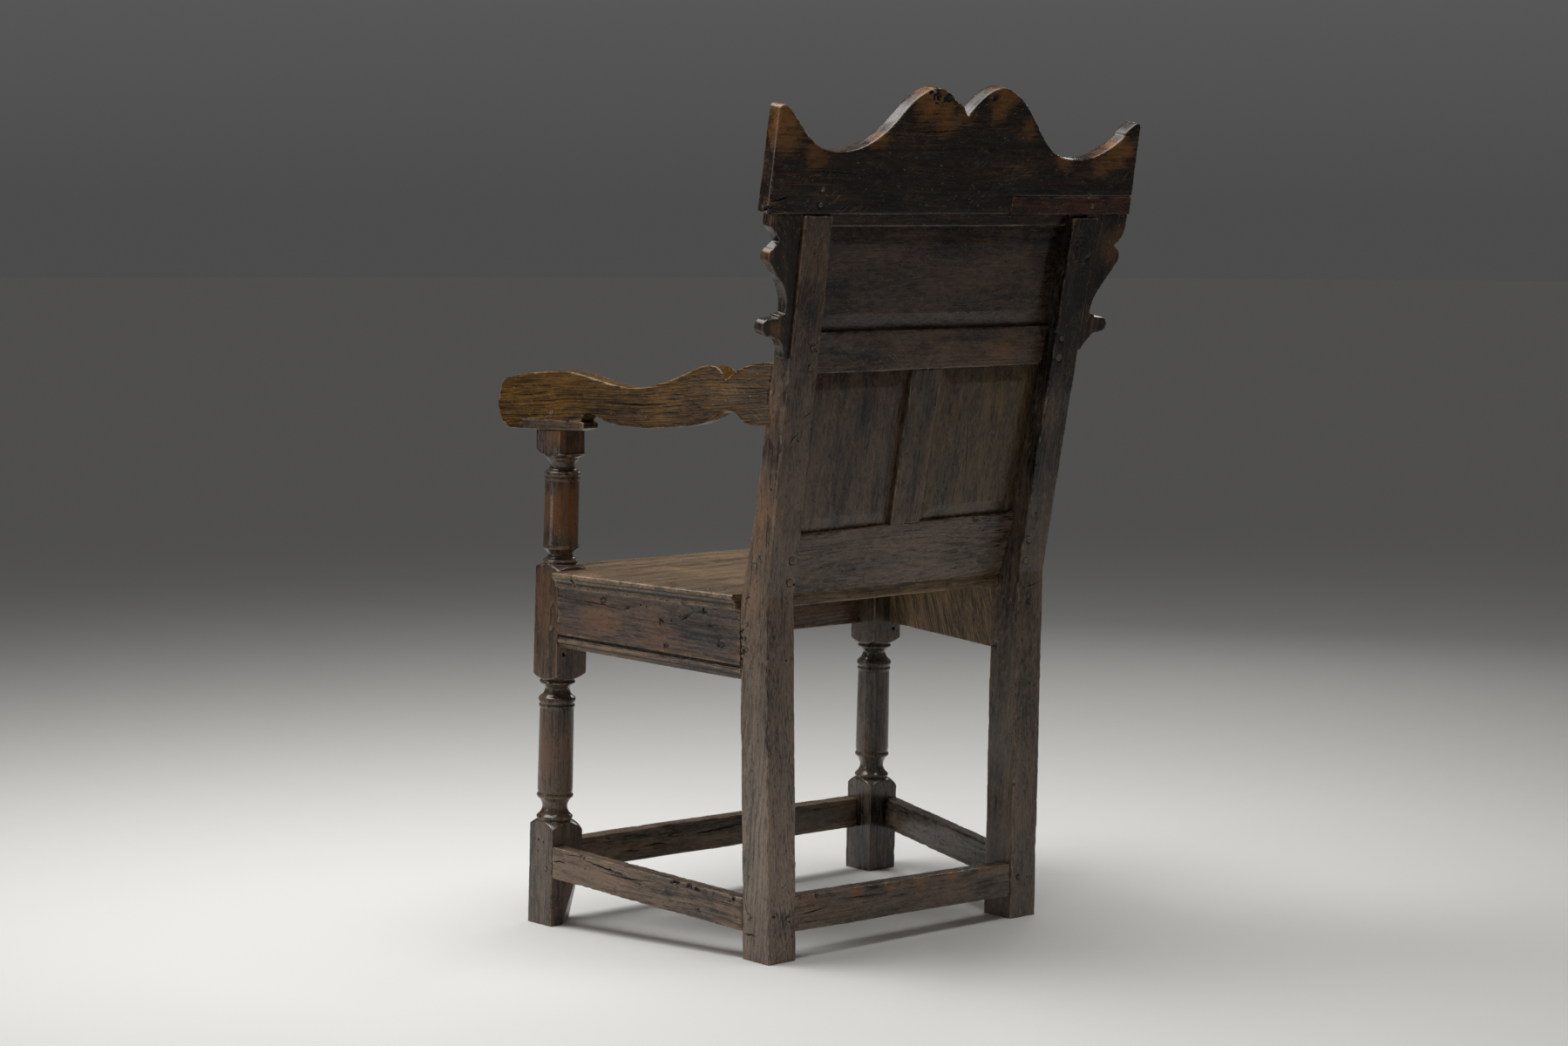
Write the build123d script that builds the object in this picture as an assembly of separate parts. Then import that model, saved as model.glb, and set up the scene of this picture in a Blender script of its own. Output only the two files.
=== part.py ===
from build123d import *
import os
from math import hypot

# An oak wainscot armchair: a joined frame with a raked panelled back, a shaped crest, scrolled
# ears, turned front posts and a board seat. Lengths are in millimetres.
#
# While the pieces are made, X runs to the sitter's left, Y to the back and Z up, from a point
# on the floor midway between the back faces of the rear feet. Every piece of the left side is
# made at +X, and the right side's are mirrored. The last step moves all pieces so that the
# origin is at the middle of the overall width and depth.

LEFT, RIGHT = 1, -1
SIDES = {"left": LEFT, "right": RIGHT}
FAR = 500.0                        # farther out than any face of the chair
TOP = 1500.0                       # higher than the chair

# --- Rear stiles: one plank each, kinked at the seat, raked and thinned above it ---
STILE_WIDTH = 47.0
KNEE_Z = 475.0                     # where the back face starts to rake
RAKE_TOP_Z = 949.0                 # where the raked faces are measured
STILE_BACK = [(0.0, 0.0), (KNEE_Z, 3.5), (RAKE_TOP_Z, 89.5)]           # (z, y)
STILE_FRONT = [(0.0, -52.0), (465.0, -49.5), (568.0, -19.5), (RAKE_TOP_Z, 59.0)]
STILE_OUTER = [(0.0, 240.0), (KNEE_Z, 247.3), (RAKE_TOP_Z, 259.3)]     # (z, x)
STILE_GAP = {LEFT: 1.5, RIGHT: 5.0}   # between a stile's top and the crest

# --- Front posts: square blanks, turned between the blocks, leaning a little back ---
POST = 51.0
POST_FOOT_X = 289.5                # axis at the floor
POST_FOOT_Y = -390.5
POST_LEAN_IN = 0.005               # axis shift per unit of height
POST_LEAN_BACK = {LEFT: 0.039, RIGHT: 0.033}
LATHE_DROP = {LEFT: 0.0, RIGHT: 7.0}  # how much lower the right leg's lowest turning sits
FOOT_BLOCK_TOP = 132.0
SEAT_BLOCK_BOTTOM = 340.0
SEAT_BLOCK_TOP = 487.0
TOP_BLOCK_BOTTOM = 643.0
BLOCK_LAP = 5.0                    # how far a block's square section is kept beside it
TOP_BLOCK = (50.0, 42.0)           # along the arm and across it; the block is turned to the arm
TOP_BLOCK_SHIFT = (4.0, -4.5)      # of its middle from the post's axis, in x and y
TOP_BLOCK_CHAMFER = 6.0            # on the one upright edge that faces back and out
TURNING_SHIFT = {LEFT: (1.9, -1.9), RIGHT: (-0.9, -0.9)}  # the lathe's centres missed the axis
WANE = (32.0, 27.0, 95.0)          # lost from the left foot's inner back corner: in x, y and z
NECK_R, RING_R, TORUS_R = 16.5, 24.4, 24.7
SHAFT_TOP_R, SHAFT_FOOT_R = 22.9, 23.8

# --- Seat ---
SEAT_SLOPE = 0.0276                # the seat falls to the back
SEAT_REAR_Y = -35.0
SEAT_REAR_Z = 474.3                # top of the seat at its back edge
SEAT_FRONT_Y = -405.0
SEAT_SEAM_Y = -312.0               # between the front board and the main board
SEAT_THICKNESS = 20.0
SEAT_OVERHANG = 12.0               # past the side rails' faces

# --- Seat rails and stretchers ---
SIDE_RAIL_BOTTOM = {LEFT: (380.0, 363.5), RIGHT: (366.0, 363.0)}       # z at front, at rear
SIDE_RAIL_THICKNESS = 22.0
FRONT_RAIL_BOTTOM = 365.0
FRONT_RAIL_THICKNESS = 17.0
FRONT_RAIL_LAP = 8.0               # how far the seat's slope is left for the seat to cut away
STRETCHER_HEIGHT = 43.5
REAR_STRETCHER_HEIGHT = 45.5
SIDE_STRETCHER_BOTTOM = {LEFT: (66.5, 36.5), RIGHT: (61.5, 43.0)}      # z at front, at rear
FRONT_STRETCHER_BOTTOM = (63.5, 67.0)                                  # z at right, at left
REAR_STRETCHER_BOTTOM = (31.0, 37.5)
SIDE_STRETCHER_THICKNESS = 21.0
FRONT_STRETCHER_THICKNESS = 22.0
REAR_STRETCHER_THICKNESS = 26.0
FACE_INSET = 1.0                   # of the cross bars behind the uprights' outer faces
TENON_LENGTH = 24.0
TENON_THICKNESS = 8.0
TENON_SHOULDER = 7.0

# --- Panelled back ---
RAIL_THICKNESS = 16.0
BOTTOM_RAIL_TOP = {LEFT: 82.0, RIGHT: 90.0}     # along its face, above the seat
MIDDLE_RAIL = (757.0, 808.5)                    # z of its lower and upper back edges
TOP_RAIL_BOTTOM = 941.0
TOP_RAIL_BLANK = 30.0                           # its height before the crest is fitted to it
TOP_RAIL_TENON_DEPTHS = (4.0, 12.0)             # behind the rails' front faces
TOP_RAIL_TENON_HEIGHTS = (1.0, 7.0)             # above its lower edge
MUNTIN_WIDTH = 53.0
MUNTIN_TENON = 20.0
PANEL_TONGUE = (4.0, 8.0)                       # depths behind the rails' front faces
PANEL_FIELD = 13.0
PANEL_BEVEL = 22.0
PANEL_HOLD = 7.0                                # how far a panel's edge enters its groove
GROOVE_ROOM = 1.0                               # empty space at the bottom of a groove
LOWER_PANEL_Z = 556.0                           # height of the lower panels' outer lower corners
LOWER_PANEL_SKEW = 3.0                          # how the bottom rail's slope shifts their corners
RAIL_LIP = 4.0                                  # between the bottom rail's top edge and a panel

# --- Crest and ears ---
CREST_BOTTOM = 956.0
CREST_THICKNESS = 22.0
CREST_HALF = 318.0
CREST_INSET = 2.0                               # behind the stiles' back faces
CREST_TENON_DEPTHS = (6.0, 16.0)                # in front of the crest's back face
CREST_TENON_HEIGHT = 38.0
CREST_TENON_SHOULDER = 8.0                      # on the outer side; the inner side has none
PATCH_LENGTH, PATCH_HEIGHT, PATCH_DEPTH = 225.0, 25.0, 4.0
EAR_THICKNESS = 17.0
EAR_INSET = 2.0                                 # behind the crest's back face
EAR_ROOT_X = 240.0                              # inside the stile, where the ear is cut off
EAR_OUTLINE = {                                 # (x, z) of the outer edge, from the top down
    # The two ears were cut by hand, a little unlike.
    LEFT: {"top": (310, 941), "cheek": (305, 937), "notch": (291.5, 922.5), "brow": (301, 914),
           "bulge": (307.5, 904), "chin": (305.5, 897), "hollow": [(293, 883.5), (283.5, 874.5), (274.5, 860)],
           "waist": (269, 833), "step": (278.5, 831.5), "knob root": (279, 827.5), "knob top": (297, 827),
           "knob": (304, 818), "knob foot": (291, 806), "tail root": (278.5, 803), "tail": (268, 793),
           "tail end": (262.5, 777)},
    RIGHT: {"top": (316.5, 942), "cheek": (309.5, 922.5), "notch": (298, 914), "brow": (304, 911.5),
            "bulge": (312, 902), "chin": (310.5, 892), "hollow": [(300.5, 879), (288.5, 864.5), (278.5, 850)],
            "waist": (271, 824), "step": (280, 822), "knob root": (281.5, 819), "knob top": (296, 817.5),
            "knob": (305.5, 809.5), "knob foot": (299.5, 799), "tail root": (282.5, 797), "tail": (273, 788),
            "tail end": (262.5, 775)},
}

# --- Arms ---
ARM_THICKNESS = 28.0
ARM_SPLAY = 0.1545                              # outward per length forward
ARM_SEAT_Z = 733.0                              # where its back end is level with the stile's face
ARM_PAD_BACK, ARM_PAD_FRONT = 327.0, 433.0      # along the arm, forward of the stile
ARM_PAD_TOP, ARM_PAD_BOTTOM = 684.0, 670.0
ARM_TENON = (712.0, 762.0)                      # z of the tenon in the stile
ARM_TENON_LENGTH, ARM_TENON_THICKNESS = 22.0, 10.0
POST_TENON_TOP = 716.0
POST_TENON = (13.0, 30.0)                       # across the arm, along the arm

# --- Pegs and nails ---
PEG_R = 4.2
SMALL_PEG_R = 3.0
PEG_PROUD = 0.8
PEG_HOLE, PEG_HOLE_DEPTH = 5.0, 18.0            # an empty square hole in each front post
PEG_FROM_EDGE = 13.0                            # of the lower frame's pegs from an upright's edge
BACK_PEGS = {                                   # heights, distance from the stile's inner face, length
    "bottom_rail": ((491.0, 520.0), 10.0, 38.0),
    "middle_rail": ((766.0, 792.0), 12.0, 26.0),
}
CREST_PEGS = {LEFT: [(235.0, 12.0), (234.5, 31.0)],      # distance from the middle, height in the crest
              RIGHT: [(244.0, 11.0), (236.0, 24.0)]}
ARM_PEG_Z = {"post": 694.0, "stile": 735.0}
ARM_PEG_INSET = 6.0                             # behind the stile's front face
SEAT_RAIL_PEG_Z = (405.0, 438.0)
FRONT_RAIL_PEG_Z = (388.0, 440.0)
STRETCHER_PEG_Z = {"front": 78.0, "rear": 58.0}
FRONT_STRETCHER_PEG_Z, REAR_STRETCHER_PEG_Z = 87.0, 57.0
SIDE_PEG_LENGTH, FRONT_PEG_LENGTH, REAR_PEG_LENGTH = 30.0, 22.0, 26.0
SEAT_PEG_SHARES = (0.2, 0.55, 0.84)             # of the way from the stile to the post
SEAT_PEG_X = (-150.0, 0.0, 150.0)               # in the front rail
SEAT_PEG_Y = -388.5
SEAT_PEG_LENGTH = 42.0
NAIL_R, NAIL_LENGTH, NAIL_SUNK = 1.5, 38.0, 1.5
EAR_NAILS = {LEFT: [(848.0, 271.0), (786.0, 265.5)],     # (z, x) on an ear's outer edge
             RIGHT: [(848.0, 277.5), (786.0, 272.0)]}


def along(z, line):
    """The value of a bent line, given as (z, value) corners, at height z."""
    for (z0, v0), (z1, v1) in zip(line, line[1:]):
        if z <= z1 or (z1, v1) == line[-1]:
            return v0 + (v1 - v0) * (z - z0) / (z1 - z0)


def to_side(shape, side):
    """A piece made on the left, or its mirror image for the right."""
    return shape if side == LEFT else mirror(shape, about=Plane.YZ)


def slab(outline, plane, near, far):
    """An outline on a plane, filled from near to far along the plane's normal."""
    face = make_face(outline)
    return extrude(plane.offset(near) * face, amount=far - near, dir=plane.z_dir)


def corners(*points):
    """A closed outline with straight sides."""
    return Polyline(*points, close=True)


def between_heights(low, high):
    """All space between two heights."""
    return Pos(0, 0, low) * Box(4 * FAR, 4 * FAR, high - low, align=(Align.CENTER, Align.CENTER, Align.MIN))


def upright_plane(origin, slope=0.0):
    """A plane across the chair that faces the front; slope is its rake, y per z."""
    length = hypot(1, slope)
    return Plane(origin=origin, x_dir=(1, 0, 0), z_dir=(0, -1 / length, slope / length))


def raked_plane(lower, upper):
    """The plane across the chair through two (z, y) corners; its origin is the lower one."""
    (z0, y0), (z1, y1) = lower, upper
    return upright_plane((0, y0, z0), (y1 - y0) / (z1 - z0))


# ---------------------------------------------------------------- rear stiles
def up_to(z, line):
    """A bent line as corners, with its last stretch carried on to height z."""
    return [*line[:-1], (z, along(z, line))]


def stile_blank(side):
    """The left-hand stile before its mortises: its side outline crossed with its back outline."""
    back, front, outer = (up_to(CREST_BOTTOM + FAR, line) for line in (STILE_BACK, STILE_FRONT, STILE_OUTER))
    from_side = slab(corners(*[(y, z) for z, y in back], *[(y, z) for z, y in reversed(front)]),
                     Plane.YZ, 0, FAR)
    from_back = slab(corners(*[(x, z) for z, x in outer], *[(x - STILE_WIDTH, z) for z, x in reversed(outer)]),
                     upright_plane((0, 0, 0)), -FAR, FAR)
    above = slab(corners((-FAR, -STILE_GAP[side]), (FAR, -STILE_GAP[side]), (FAR, TOP), (-FAR, TOP)),
                 crest_plane(), -FAR, FAR)
    return (from_side & from_back) - above


def stile_inner(z):
    return along(z, STILE_OUTER) - STILE_WIDTH


def behind_stile_fronts():
    """All space behind the stiles' front faces: side rails and arms get their shoulders here."""
    front = [(y, z) for z, y in STILE_FRONT]
    return slab(corners(*front, (FAR, RAKE_TOP_Z), (FAR, 0)), Plane.YZ, -FAR, FAR)


def outside_stile(side):
    """All space on the outer side of a stile's inner face: the back's rails end here."""
    inner = [(x - STILE_WIDTH, z) for z, x in STILE_OUTER]
    block = slab(corners(*inner, (FAR, RAKE_TOP_Z), (FAR, 0)), upright_plane((0, 0, 0)), -FAR, FAR)
    return to_side(block, side)


# ---------------------------------------------------------------- front posts
def lathe_profile(drop):
    """Half the section of a post as the lathe leaves it, from the floor to the arm.

    Each row is a height and a radius, and a third value where the stretch up to it is
    round: the radius halfway. The blocks keep a radius past their corners.
    """
    clear = 40.0

    def low(z):
        return z - drop * (SEAT_BLOCK_BOTTOM - z) / (SEAT_BLOCK_BOTTOM - FOOT_BLOCK_TOP)

    rows = [
        (low(FOOT_BLOCK_TOP - 6), clear),
        (low(142), 22.0, 34.0),
        (low(143.5), 23.6),
        (low(148), 23.6, 24.6),
        (low(161), NECK_R + 0.5, 18.2),
        (low(172.5), RING_R - 1.6, 18.6),
        (low(177.5), RING_R - 1.0, RING_R + 0.4),
        (low(179), SHAFT_FOOT_R - 0.8),
        (low(184), SHAFT_FOOT_R),
        (low(295), SHAFT_TOP_R),
        (low(296.5), 23.6),
        (low(300.5), 23.0, 24.2),
        (low(302), 23.0),
        (low(311), 22.4, TORUS_R + 0.4),
        (low(322), NECK_R, 17.6),
        (low(328.5), RING_R - 1.6, 19.0),
        (low(332.5), RING_R - 2.0, RING_R),
        (low(334), 21.5),
        (SEAT_BLOCK_BOTTOM + BLOCK_LAP, clear, 32.5),
        (SEAT_BLOCK_TOP - 6, clear),
        (SEAT_BLOCK_TOP + 4, 21.5, 32.5),
        (493, 23.0),
        (497, 21.5, 23.6),
        (503.5, NECK_R, 17.4),
        (511, RING_R - 1.4, 19.0),
        (516, RING_R - 1.0, RING_R + 0.6),
        (517.5, SHAFT_FOOT_R - 0.4),
        (603, SHAFT_TOP_R + 0.2),
        (604.5, 23.6),
        (607.5, 22.8, 24.0),
        (609, 22.8),
        (616, 21.0, TORUS_R - 0.2),
        (622, NECK_R + 0.3, 17.2),
        (632, 22.5, 18.6),
        (634, 22.8),
        (TOP_BLOCK_BOTTOM + BLOCK_LAP, clear, 33.5),
        (ARM_PAD_TOP, clear),
    ]
    below_floor = (0.0, -40.0)
    edges = [Line(below_floor, (clear, below_floor[1])),
             Line((clear, below_floor[1]), (clear, rows[0][0]))]
    for before, row in zip(rows, rows[1:]):
        start, end = (before[1], before[0]), (row[1], row[0])
        if len(row) == 3:
            edges.append(ThreePointArc(start, (row[2], (start[1] + end[1]) / 2), end))
        else:
            edges.append(Line(start, end))
    top = rows[-1][0]
    edges += [Line((clear, top), (0, top)), Line((0, top), below_floor)]
    return Wire(edges)


def post_axis(side, z):
    """The point of the left-hand post's axis at height z."""
    return Vector(POST_FOOT_X - POST_LEAN_IN * z, POST_FOOT_Y + POST_LEAN_BACK[side] * z, z)


def post_plane(side):
    """The plane at the foot of the left-hand post that its axis stands on."""
    return Plane(origin=(POST_FOOT_X, POST_FOOT_Y, 0), x_dir=(1, 0, 0),
                 z_dir=(-POST_LEAN_IN, POST_LEAN_BACK[side], 1))


def top_block(side):
    """The block under the left-hand arm, with its sides parallel to the arm's."""
    along_arm, across = TOP_BLOCK
    axis = post_axis(side, TOP_BLOCK_BOTTOM)
    middle = (axis.X + TOP_BLOCK_SHIFT[0], axis.Y + TOP_BLOCK_SHIFT[1], TOP_BLOCK_BOTTOM - BLOCK_LAP)
    start = Plane(origin=middle, x_dir=(1, ARM_SPLAY, 0), z_dir=(0, 0, 1))
    outline = Rectangle(across, along_arm)
    corner = outline.vertices().sort_by(Axis((0, 0, 0), (1, 1, 0)))[-1]
    return extrude(start * chamfer(corner, TOP_BLOCK_CHAMFER), amount=ARM_PAD_TOP - TOP_BLOCK_BOTTOM)


def peg_hole(side):
    """The empty square hole in the left-hand post's back face, under the side rail."""
    axis = post_axis(side, SIDE_RAIL_BOTTOM[side][0] - 2 * PEG_HOLE)
    return Pos(axis.X + POST / 4, axis.Y + POST / 2, axis.Z) * Box(PEG_HOLE, 2 * PEG_HOLE_DEPTH, PEG_HOLE)


def post_blank(side):
    """A post on the left before its mortises: a square stick, turned between its blocks."""
    section = Plane.XZ * make_face(lathe_profile(LATHE_DROP[side]))
    turned = post_plane(side).location * Pos(*TURNING_SHIFT[side], 0) * revolve(section, Axis.Z)
    stick = post_plane(side).location * Box(POST, POST, 2 * ARM_PAD_TOP)
    post = (turned & stick) - between_heights(TOP_BLOCK_BOTTOM - BLOCK_LAP, TOP) + (turned & top_block(side))
    return post - between_heights(-TOP, 0) - between_heights(ARM_PAD_BOTTOM, TOP) - peg_hole(side)


def wane_cut():
    """What has split away from the left foot's inner back corner, narrowing to a tip above."""
    in_x, in_y, height = WANE
    clear, tip = 5.0, 2.0
    x, y = POST_FOOT_X - POST / 2, POST_FOOT_Y + POST / 2

    def section(x, y, in_x, in_y):
        return make_face(corners((x - clear, y + clear), (x + in_x, y + clear), (x + in_x, y), (x, y - in_y),
                                 (x - clear, y - in_y)))

    end = section(x - tip, y + POST_LEAN_BACK[LEFT] * height + tip, tip, tip)
    return loft([section(x, y, in_x, in_y), Pos(0, 0, height) * end], ruled=True)


def before_post_back(side):
    """All space in front of the left-hand post's back face: side rails get their shoulders here."""
    block = Box(2 * FAR, FAR, 2 * FAR, align=(Align.CENTER, Align.MAX, Align.CENTER))
    return post_plane(side).location * Pos(0, POST / 2, 0) * block


def outside_post(side):
    """All space on the outer side of a post's inner face: the front's bars end here."""
    block = Box(FAR, 2 * FAR, 2 * FAR, align=(Align.MIN, Align.CENTER, Align.CENTER))
    return to_side(post_plane(side).location * Pos(-POST / 2, 0, 0) * block, side)


# ---------------------------------------------------------------- tenoned bars
def tenoned_bar(plane, length, bottom, top, thickness, shoulders):
    """A bar between two uprights, with a tenon at each end.

    bottom and top each hold the height at the plane's x of 0 and of length. The bar's
    body ends where the spaces in shoulders begin.
    """
    def height(pair, x):
        return pair[0] + (pair[1] - pair[0]) * x / length

    reach = 45.0
    body = slab(corners((-reach, height(bottom, -reach)), (length + reach, height(bottom, length + reach)),
                        (length + reach, height(top, length + reach)), (-reach, height(top, -reach))),
                plane, 0, thickness)
    for space in shoulders:
        body -= space
    first, last = -TENON_LENGTH, length + TENON_LENGTH
    start = (thickness - TENON_THICKNESS) / 2
    tenon = slab(corners((first, height(bottom, first) + TENON_SHOULDER),
                         (last, height(bottom, last) + TENON_SHOULDER),
                         (last, height(top, last) - TENON_SHOULDER),
                         (first, height(top, first) - TENON_SHOULDER)),
                 plane, start, start + TENON_THICKNESS)
    return body + tenon


def cross_bar(plane, half, bottom, top, thickness, shoulders):
    """A bar from the right upright to the left one, behind a plane that faces the front."""
    start = plane.offset(-thickness).origin - plane.x_dir * half
    shifted = Plane(origin=start, x_dir=plane.x_dir, z_dir=plane.z_dir)
    return tenoned_bar(shifted, 2 * half, bottom, top, thickness, shoulders)


# ---------------------------------------------------------------- side rails and stretchers
def side_plane(side, z):
    """The upright plane through the outer faces of the left post and stile at height z.

    Its x runs forward from the stile and its y up, and its normal points into the chair.
    """
    post = post_axis(side, z)
    front = Vector(post.X + POST / 2, post.Y + POST / 2, 0)
    rear = Vector(along(z, STILE_OUTER), along(z, STILE_FRONT), 0)
    forward = front - rear
    inward = Vector(forward.Y, -forward.X, 0)
    return Plane(origin=rear, x_dir=forward, z_dir=inward), forward.length


def seat_height(y):
    """The top of the seat at a distance y from the front."""
    return SEAT_REAR_Z - SEAT_SLOPE * (y - SEAT_REAR_Y)


def moulding_cutter(plane, length, bottom):
    """What the plane takes off a side rail's lower edge: a groove, a bead and a chamfer."""
    groove_top, groove_bottom, bead_bottom, chamfer_top = 20.0, 16.0, 6.5, 5.0
    deep, shallow, chamfer_depth = 5.0, 1.0, 9.0
    outside, below, reach = -10.0, -3.0, 80.0
    bead = ((deep, groove_bottom), (shallow, (groove_bottom + bead_bottom) / 2), (deep - 1, bead_bottom))
    profile = Wire([
        Line((outside, groove_top), (0, groove_top)),
        Line((0, groove_top), (deep, groove_bottom)),
        ThreePointArc(*bead),
        Line((deep - 1, bead_bottom), (deep - 1, chamfer_top)),
        Line((deep - 1, chamfer_top), (chamfer_depth, below)),
        Line((chamfer_depth, below), (outside, below)),
        Line((outside, below), (outside, groove_top)),
    ])
    rise = (bottom[1] - bottom[0]) / length
    run = (plane.x_dir + plane.y_dir * rise).normalized()
    start = plane.origin + plane.y_dir * bottom[0] - run * reach
    section = Plane(origin=start, x_dir=plane.z_dir, z_dir=run)
    if section.y_dir.Z < 0:
        section = Plane(origin=start, x_dir=plane.z_dir, z_dir=-run)
    return extrude(section * make_face(profile), amount=length + 2 * reach, dir=run)


def side_seat_rail(side):
    """The left-hand seat rail, moulded along its lower outer edge."""
    bottom = tuple(reversed(SIDE_RAIL_BOTTOM[side]))
    seat_bottom = SEAT_REAR_Z - SEAT_THICKNESS
    plane, length = side_plane(side, (sum(bottom) / 2 + seat_bottom) / 2)
    rear_y = plane.origin.Y
    front_y = rear_y + plane.x_dir.Y * length
    top = (seat_height(rear_y) - SEAT_THICKNESS, seat_height(front_y) - SEAT_THICKNESS)
    shoulders = [before_post_back(side), behind_stile_fronts()]
    cutter = moulding_cutter(plane, length, bottom)
    for space in shoulders:
        cutter -= space
    return tenoned_bar(plane, length, bottom, top, SIDE_RAIL_THICKNESS, shoulders) - cutter


def side_stretcher(side):
    bottom = tuple(reversed(SIDE_STRETCHER_BOTTOM[side]))
    top = tuple(z + STRETCHER_HEIGHT for z in bottom)
    plane, length = side_plane(side, (sum(bottom) + STRETCHER_HEIGHT) / 2)
    return tenoned_bar(plane, length, bottom, top, SIDE_STRETCHER_THICKNESS,
                       [before_post_back(side), behind_stile_fronts()])


# ---------------------------------------------------------------- the front's bars and the rear stretcher
def front_bar(bottom, top, thickness):
    """A bar between the front posts, just behind their front faces."""
    lean = sum(POST_LEAN_BACK.values()) / 2
    face = upright_plane((0, POST_FOOT_Y - POST / 2, 0), lean).offset(-FACE_INSET)
    half = POST_FOOT_X - POST / 2
    return cross_bar(face, half, bottom, top, thickness, [outside_post(LEFT), outside_post(RIGHT)])


def front_seat_rail():
    top = seat_height(SEAT_PEG_Y) - SEAT_THICKNESS + FRONT_RAIL_LAP
    return front_bar((FRONT_RAIL_BOTTOM,) * 2, (top,) * 2, FRONT_RAIL_THICKNESS)


def front_stretcher():
    top = tuple(z + STRETCHER_HEIGHT for z in FRONT_STRETCHER_BOTTOM)
    return front_bar(FRONT_STRETCHER_BOTTOM, top, FRONT_STRETCHER_THICKNESS)


def rear_stretcher():
    top = tuple(z + REAR_STRETCHER_HEIGHT for z in REAR_STRETCHER_BOTTOM)
    front_face = upright_plane((0, -FACE_INSET - REAR_STRETCHER_THICKNESS, 0))
    middle = (sum(REAR_STRETCHER_BOTTOM) + REAR_STRETCHER_HEIGHT) / 2
    return cross_bar(front_face, stile_inner(middle), REAR_STRETCHER_BOTTOM, top,
                     REAR_STRETCHER_THICKNESS, [outside_stile(LEFT), outside_stile(RIGHT)])


# ---------------------------------------------------------------- the seat
def seat_plane():
    return Plane(origin=(0, SEAT_REAR_Y, SEAT_REAR_Z), x_dir=(1, 0, 0), z_dir=(0, SEAT_SLOPE, 1))


def on_seat(x, y):
    return Vector(x, y, seat_height(y))


def seat_edge_x(y):
    """Half the seat's width at a distance y from the front."""
    side, length = side_plane(LEFT, SEAT_REAR_Z)
    rear = side.origin - side.z_dir * SEAT_OVERHANG
    front = rear + side.x_dir * length
    return rear.X + (front.X - rear.X) * (y - rear.Y) / (front.Y - rear.Y)


def seat_edge_cutter(start, end):
    """The moulding cut from the seat's edge between two points of its top: bead, quirk, cove."""
    past, over, reach = 30.0, 1.0, 40.0
    profile = Wire([
        Line((past, over), (-4.5, over)),
        Line((-4.5, over), (-4.5, 0)),
        ThreePointArc((-4.5, 0), (-1.3, -1.3), (0, -4.5)),
        Line((0, -4.5), (-0.8, -6.5)),
        Line((-0.8, -6.5), (-3.2, -7.5)),
        Line((-3.2, -7.5), (-3.2, -9.0)),
        ThreePointArc((-3.2, -9.0), (-4.6, -11.2), (-6.0, -12.5)),
        Line((-6.0, -12.5), (-6.0, -past)),
        Line((-6.0, -past), (past, -past)),
        Line((past, -past), (past, over)),
    ])
    run = (end - start).normalized()
    up = seat_plane().z_dir
    outward = up.cross(run)
    section = Plane(origin=start - run * reach, x_dir=outward, z_dir=outward.cross(up))
    return extrude(section * make_face(profile), amount=(end - start).length + 2 * reach, dir=run)


def seat_boards(posts, stiles):
    """The seat: front board and main board, notched round the posts and the stiles."""
    stretch = hypot(1, SEAT_SLOPE)
    stile_y = along(SEAT_REAR_Z - SEAT_THICKNESS, STILE_FRONT)
    inner = stile_inner(KNEE_Z)
    wide, narrow, rear = seat_edge_x(SEAT_FRONT_Y), seat_edge_x(SEAT_SEAM_Y), seat_edge_x(stile_y)

    def board(*half):
        """A board from the corners of its left half, each an x and a y."""
        placed = [(x, (y - SEAT_REAR_Y) * stretch) for x, y in half]
        outline = corners(*placed, *[(-x, v) for x, v in reversed(placed)])
        return slab(outline, seat_plane(), -SEAT_THICKNESS, 0)

    main = board((inner, SEAT_REAR_Y), (inner, stile_y), (rear, stile_y), (narrow, SEAT_SEAM_Y))
    front = board((narrow, SEAT_SEAM_Y), (wide, SEAT_FRONT_Y))
    front_left, front_right = on_seat(wide, SEAT_FRONT_Y), on_seat(-wide, SEAT_FRONT_Y)
    for start, end in ((on_seat(rear, stile_y), front_left), (front_right, on_seat(-rear, stile_y)),
                       (front_left, front_right)):
        cutter = seat_edge_cutter(start, end)
        main -= cutter
        front -= cutter
    for side in (LEFT, RIGHT):
        axis = post_axis(side, SEAT_REAR_Z)
        notch = Box(FAR, FAR, FAR, align=(Align.MIN, Align.MAX, Align.CENTER))
        front -= to_side(Pos(axis.X - POST / 2, axis.Y + POST / 2, SEAT_REAR_Z) * notch, side)
        front -= posts[side]
        main -= stiles[side]
    return front, main


# ---------------------------------------------------------------- the panelled back
def back_plane():
    """The plane of the back's front faces, above the seat."""
    return raked_plane(*STILE_FRONT[2:])


def back_v(z, depth=0.0):
    """How far up the back's plane a point at height z is, at a depth behind the front faces."""
    plane = back_plane()
    return (z + depth * plane.z_dir.Z - plane.origin.Z) / plane.y_dir.Z


def both_stiles():
    return [outside_stile(LEFT), outside_stile(RIGHT)]


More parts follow.
